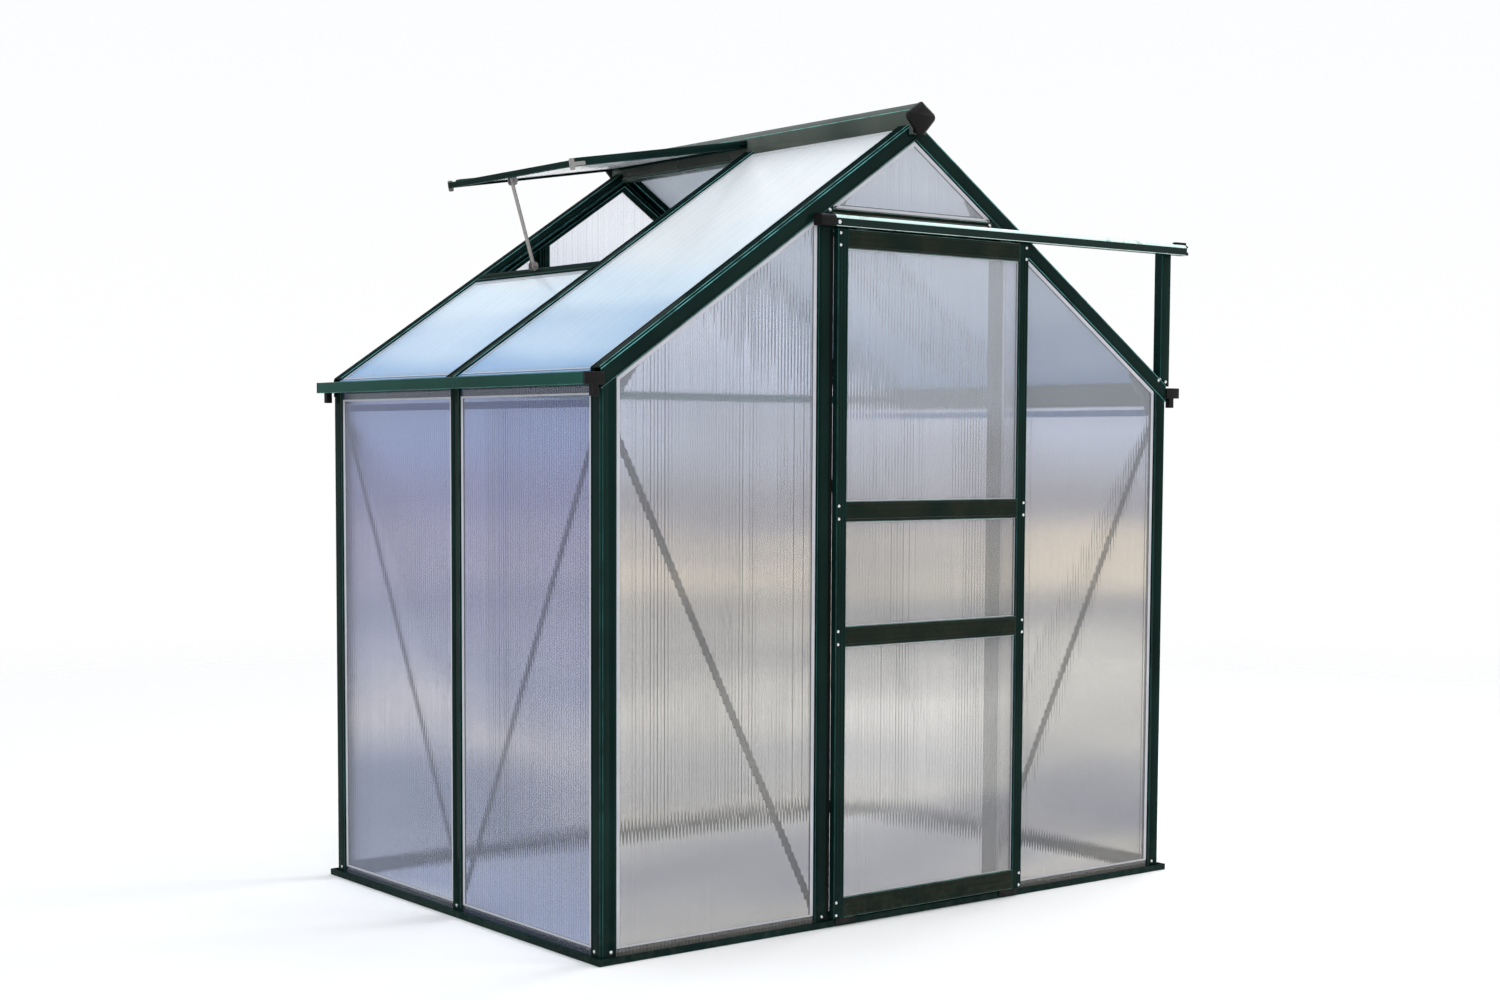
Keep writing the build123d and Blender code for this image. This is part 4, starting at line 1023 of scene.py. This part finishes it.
def bar_ends(points, step):
    middle = sum(points, Vector()) / len(points)
    far = max(points, key=lambda p: (p - middle).length)
    along = (far - middle).normalized()
    ends = []
    for sign in (1, -1):
        near = sorted(points, key=lambda p: -sign * (p - middle).dot(along))[:2]
        ends.append((near[0] + near[1]) / 2 - along * sign * step)
    return ends


def plate_corners(points, step):
    middle = sum(points, Vector()) / len(points)
    corners = [p + (middle - p).normalized() * step for p in points]
    return [p for i, p in enumerate(corners) if all((p - q).length > step for q in corners[:i])]


def inside_screws(name, node, places_on, step):
    work = bmesh.new()
    count = 0
    for faces in solids_of(node):
        points, normal = inward_face(faces)
        for place in places_on(points, step * MM):
            screw(work, place, normal, INSIDE_SCREW * MM)
            count += 1
    bmesh.ops.recalc_face_normals(work, faces=work.faces)
    piece = finish_mesh(work, name, BRIGHT_STEEL)
    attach(piece, nodes[node]["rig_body"])
    print(name, count, "screws")


for n in ("front_braces", "back_braces", "side_braces", "side_ties"):
    inside_screws(n + "_screws", n, bar_ends, BAR_STEP)
for n in ("eave_gussets", "header_gussets"):
    inside_screws(n + "_screws", n, plate_corners, PLATE_STEP)

# %% [markdown]
# The vent has a few fittings of its own: a hinge bead in the corner between the leaf and the ridge,
# a folded plate at both free corners, and two forks with a pin that hold the ends of the stay.
# Plates and forks are outlines that are pushed through their thickness, pins and bead are turned.

# %% Fittings of the vent
def pushed_plate(work, outline, u, v, place, thickness):
    """An outline in the directions u and v, pushed both ways along their normal."""
    push = u.cross(v) * thickness / 2
    sides = []
    for way in (-1, 1):
        sides.append([work.verts.new(place + u * a + v * b + push * way) for a, b in outline])
    for side in sides:
        work.faces.new(side)
    for i in range(len(outline)):
        j = (i + 1) % len(outline)
        work.faces.new((sides[0][i], sides[0][j], sides[1][j], sides[1][i]))


def turned_pin(work, start, end, profile):
    """Profile is a list of (share of the length, radius)."""
    start, end = Vector(start), Vector(end)
    along = (end - start).normalized()
    side = along.orthogonal().normalized()
    other = along.cross(side)
    turns = [2 * math.pi * i / SEGMENTS for i in range(SEGMENTS)]
    spokes = [side * math.cos(t) + other * math.sin(t) for t in turns]
    rings = []
    for share, radius in profile:
        centre = start + (end - start) * share
        rings.append([work.verts.new(centre + spoke * radius) for spoke in spokes])
    for a, b in zip(rings, rings[1:]):
        for i in range(SEGMENTS):
            j = (i + 1) % SEGMENTS
            work.faces.new((a[i], a[j], b[j], b[i]))
    for ring in (rings[0], rings[-1]):
        work.faces.new(ring)


def eared(width, height, cut):
    """A plate outline with four cut corners, centred on its middle."""
    w, h = width / 2, height / 2
    return [
        (-w + cut, -h), (w - cut, -h), (w, -h + cut), (w, h - cut),
        (w - cut, h), (-w + cut, h), (-w, h - cut), (-w, -h + cut),
    ]


def fitting(work, name, material):
    bmesh.ops.recalc_face_normals(work, faces=work.faces)
    piece = finish_mesh(work, name, material)
    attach(piece, "house")


X, Y, Z = Vector((1, 0, 0)), Vector((0, 1, 0)), Vector((0, 0, 1))
leaf_low, leaf_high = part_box("vent_rails")
stay_low, stay_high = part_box("vent_stay")

# The hinge bead has eight knuckles with a groove between them.
KNUCKLES, KNUCKLE, GROOVE, TIP, LIP = 8, 3.4 * MM, 2.8 * MM, 2.2 * MM, 0.002
HINGE_IN, HINGE_UP = 4 * MM, 2.5 * MM
knuckles = [(0.0, TIP), (2 * LIP, KNUCKLE)]
for k in range(1, KNUCKLES):
    joint = k / KNUCKLES
    knuckles += [(joint - LIP, KNUCKLE), (joint, GROOVE), (joint + LIP, KNUCKLE)]
knuckles += [(1.0 - 2 * LIP, KNUCKLE), (1.0, TIP)]
bead_line = Vector((leaf_high.x - HINGE_IN, 0, leaf_high.z + HINGE_UP))
work = bmesh.new()
turned_pin(work, bead_line + Y * leaf_low.y, bead_line + Y * leaf_high.y, knuckles)
fitting(work, "vent_hinge", GREEN_COAT)

# A corner plate is an upright tab and a strap along the leaf under a screw.
VENT_TILT = math.radians(9.5)
CORNER_IN, CORNER_UP, CORNER_OFF = 9 * MM, 7 * MM, 1.0 * MM
TAB, TAB_THICK = eared(16 * MM, 30 * MM, 3 * MM), 1.6 * MM
STRAP, STRAP_THICK, STRAP_STEP = eared(46 * MM, 10 * MM, 2 * MM), 1.8 * MM, 18 * MM
STRAP_SCREW, STRAP_SCREW_STEP = 3.2 * MM, 32 * MM
uphill = Vector((math.cos(VENT_TILT), 0, math.sin(VENT_TILT)))
upward = uphill.cross(-Y)
work = bmesh.new()
for y, way in ((leaf_low.y - CORNER_OFF, -1), (leaf_high.y + CORNER_OFF, 1)):
    corner = Vector((leaf_low.x + CORNER_IN, y, leaf_low.z + CORNER_UP))
    pushed_plate(work, TAB, uphill, upward, corner, TAB_THICK)
    pushed_plate(work, STRAP, uphill, upward, corner + uphill * STRAP_STEP, STRAP_THICK)
    on_strap = corner + uphill * STRAP_SCREW_STEP + Y * way * STRAP_THICK / 2
    screw(work, on_strap, Y * way, STRAP_SCREW)
fitting(work, "vent_corner_plates", STAY_COAT)

# A fork is two ears with a headed pin through them.
EAR, EAR_THICK, EAR_OFF = eared(18 * MM, 22 * MM, 5 * MM), 1.8 * MM, 9.5 * MM
PIN_HALF, SHANK, HEAD = 13 * MM, 2.0 * MM, 3.4 * MM
PIN_PROFILE = [
    (0.0, SHANK), (0.02, HEAD), (0.12, HEAD), (0.14, SHANK),
    (0.86, SHANK), (0.88, HEAD), (0.98, HEAD), (1.0, SHANK),
]
STAY_END, FOOT_RISE, HEAD_DROP = 7 * MM, 12 * MM, 8 * MM
stay_foot = stay_high.x - STAY_END, stay_low.z + FOOT_RISE
stay_head = stay_low.x + STAY_END, stay_high.z - HEAD_DROP
stay_y = (stay_low.y + stay_high.y) / 2
work = bmesh.new()
for x, z in (stay_foot, stay_head):
    for way in (-1, 1):
        pushed_plate(work, EAR, X, Z, Vector((x, stay_y + way * EAR_OFF, z)), EAR_THICK)
    centre = Vector((x, stay_y, z))
    turned_pin(work, centre - Y * PIN_HALF, centre + Y * PIN_HALF, PIN_PROFILE)
fitting(work, "vent_stay_forks", STAY_COAT)
print("vent fittings: hinge bead, corner plates, stay forks")

# %% [markdown]
# A brush strip closes the slit between each door jamb and the back of the door. It is a thin
# backing with a pile whose free edge is never quite straight, so every tuft gets its own length.
# The pile stays short of the door, which has to slide past it. Sizes are in millimetres.

# %% Brush strips
TUFTS, TUFT_RANGE = 160, (0.8, 1.0)
BACKING_SHARE, PILE_SHARE, TIP_SHARE = 0.3, 0.3, 0.8
BRUSH_INNER, BRUSH_OUTER, BRUSH_FOOT, BRUSH_HEAD, BRUSH_REACH = 264.5, 272.5, 40, 1690, 4.4


def brush_strip(name, x_low, x_high):
    work = bmesh.new()
    uneven = random.Random(name)
    middle, lean = (x_low + x_high) / 2, PILE_SHARE * (x_high - x_low)
    waist = front - BACKING_SHARE * BRUSH_REACH
    rows = []
    for i in range(TUFTS + 1):
        z = BRUSH_FOOT + (BRUSH_HEAD - BRUSH_FOOT) * i / TUFTS
        tip = front - BRUSH_REACH * uneven.uniform(*TUFT_RANGE)
        section = [
            (x_low, front), (x_low, waist), (middle - lean, waist),
            (middle - TIP_SHARE * lean, tip), (middle + TIP_SHARE * lean, tip),
            (middle + lean, waist), (x_high, waist), (x_high, front),
        ]
        rows.append([work.verts.new(Vector((x, y, z)) * MM) for x, y in section])
    for a, b in zip(rows, rows[1:]):
        for k in range(len(a)):
            m = (k + 1) % len(a)
            work.faces.new((a[k], a[m], b[m], b[k]))
    for row in (rows[0], rows[-1]):
        work.faces.new(row)
    bmesh.ops.recalc_face_normals(work, faces=work.faces)
    piece = finish_mesh(work, name, BLACK_PLASTIC)
    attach(piece, "house")


brush_strip("left_brush", -BRUSH_OUTER, -BRUSH_INNER)
brush_strip("right_brush", BRUSH_INNER, BRUSH_OUTER)
print("brush strips: 2")
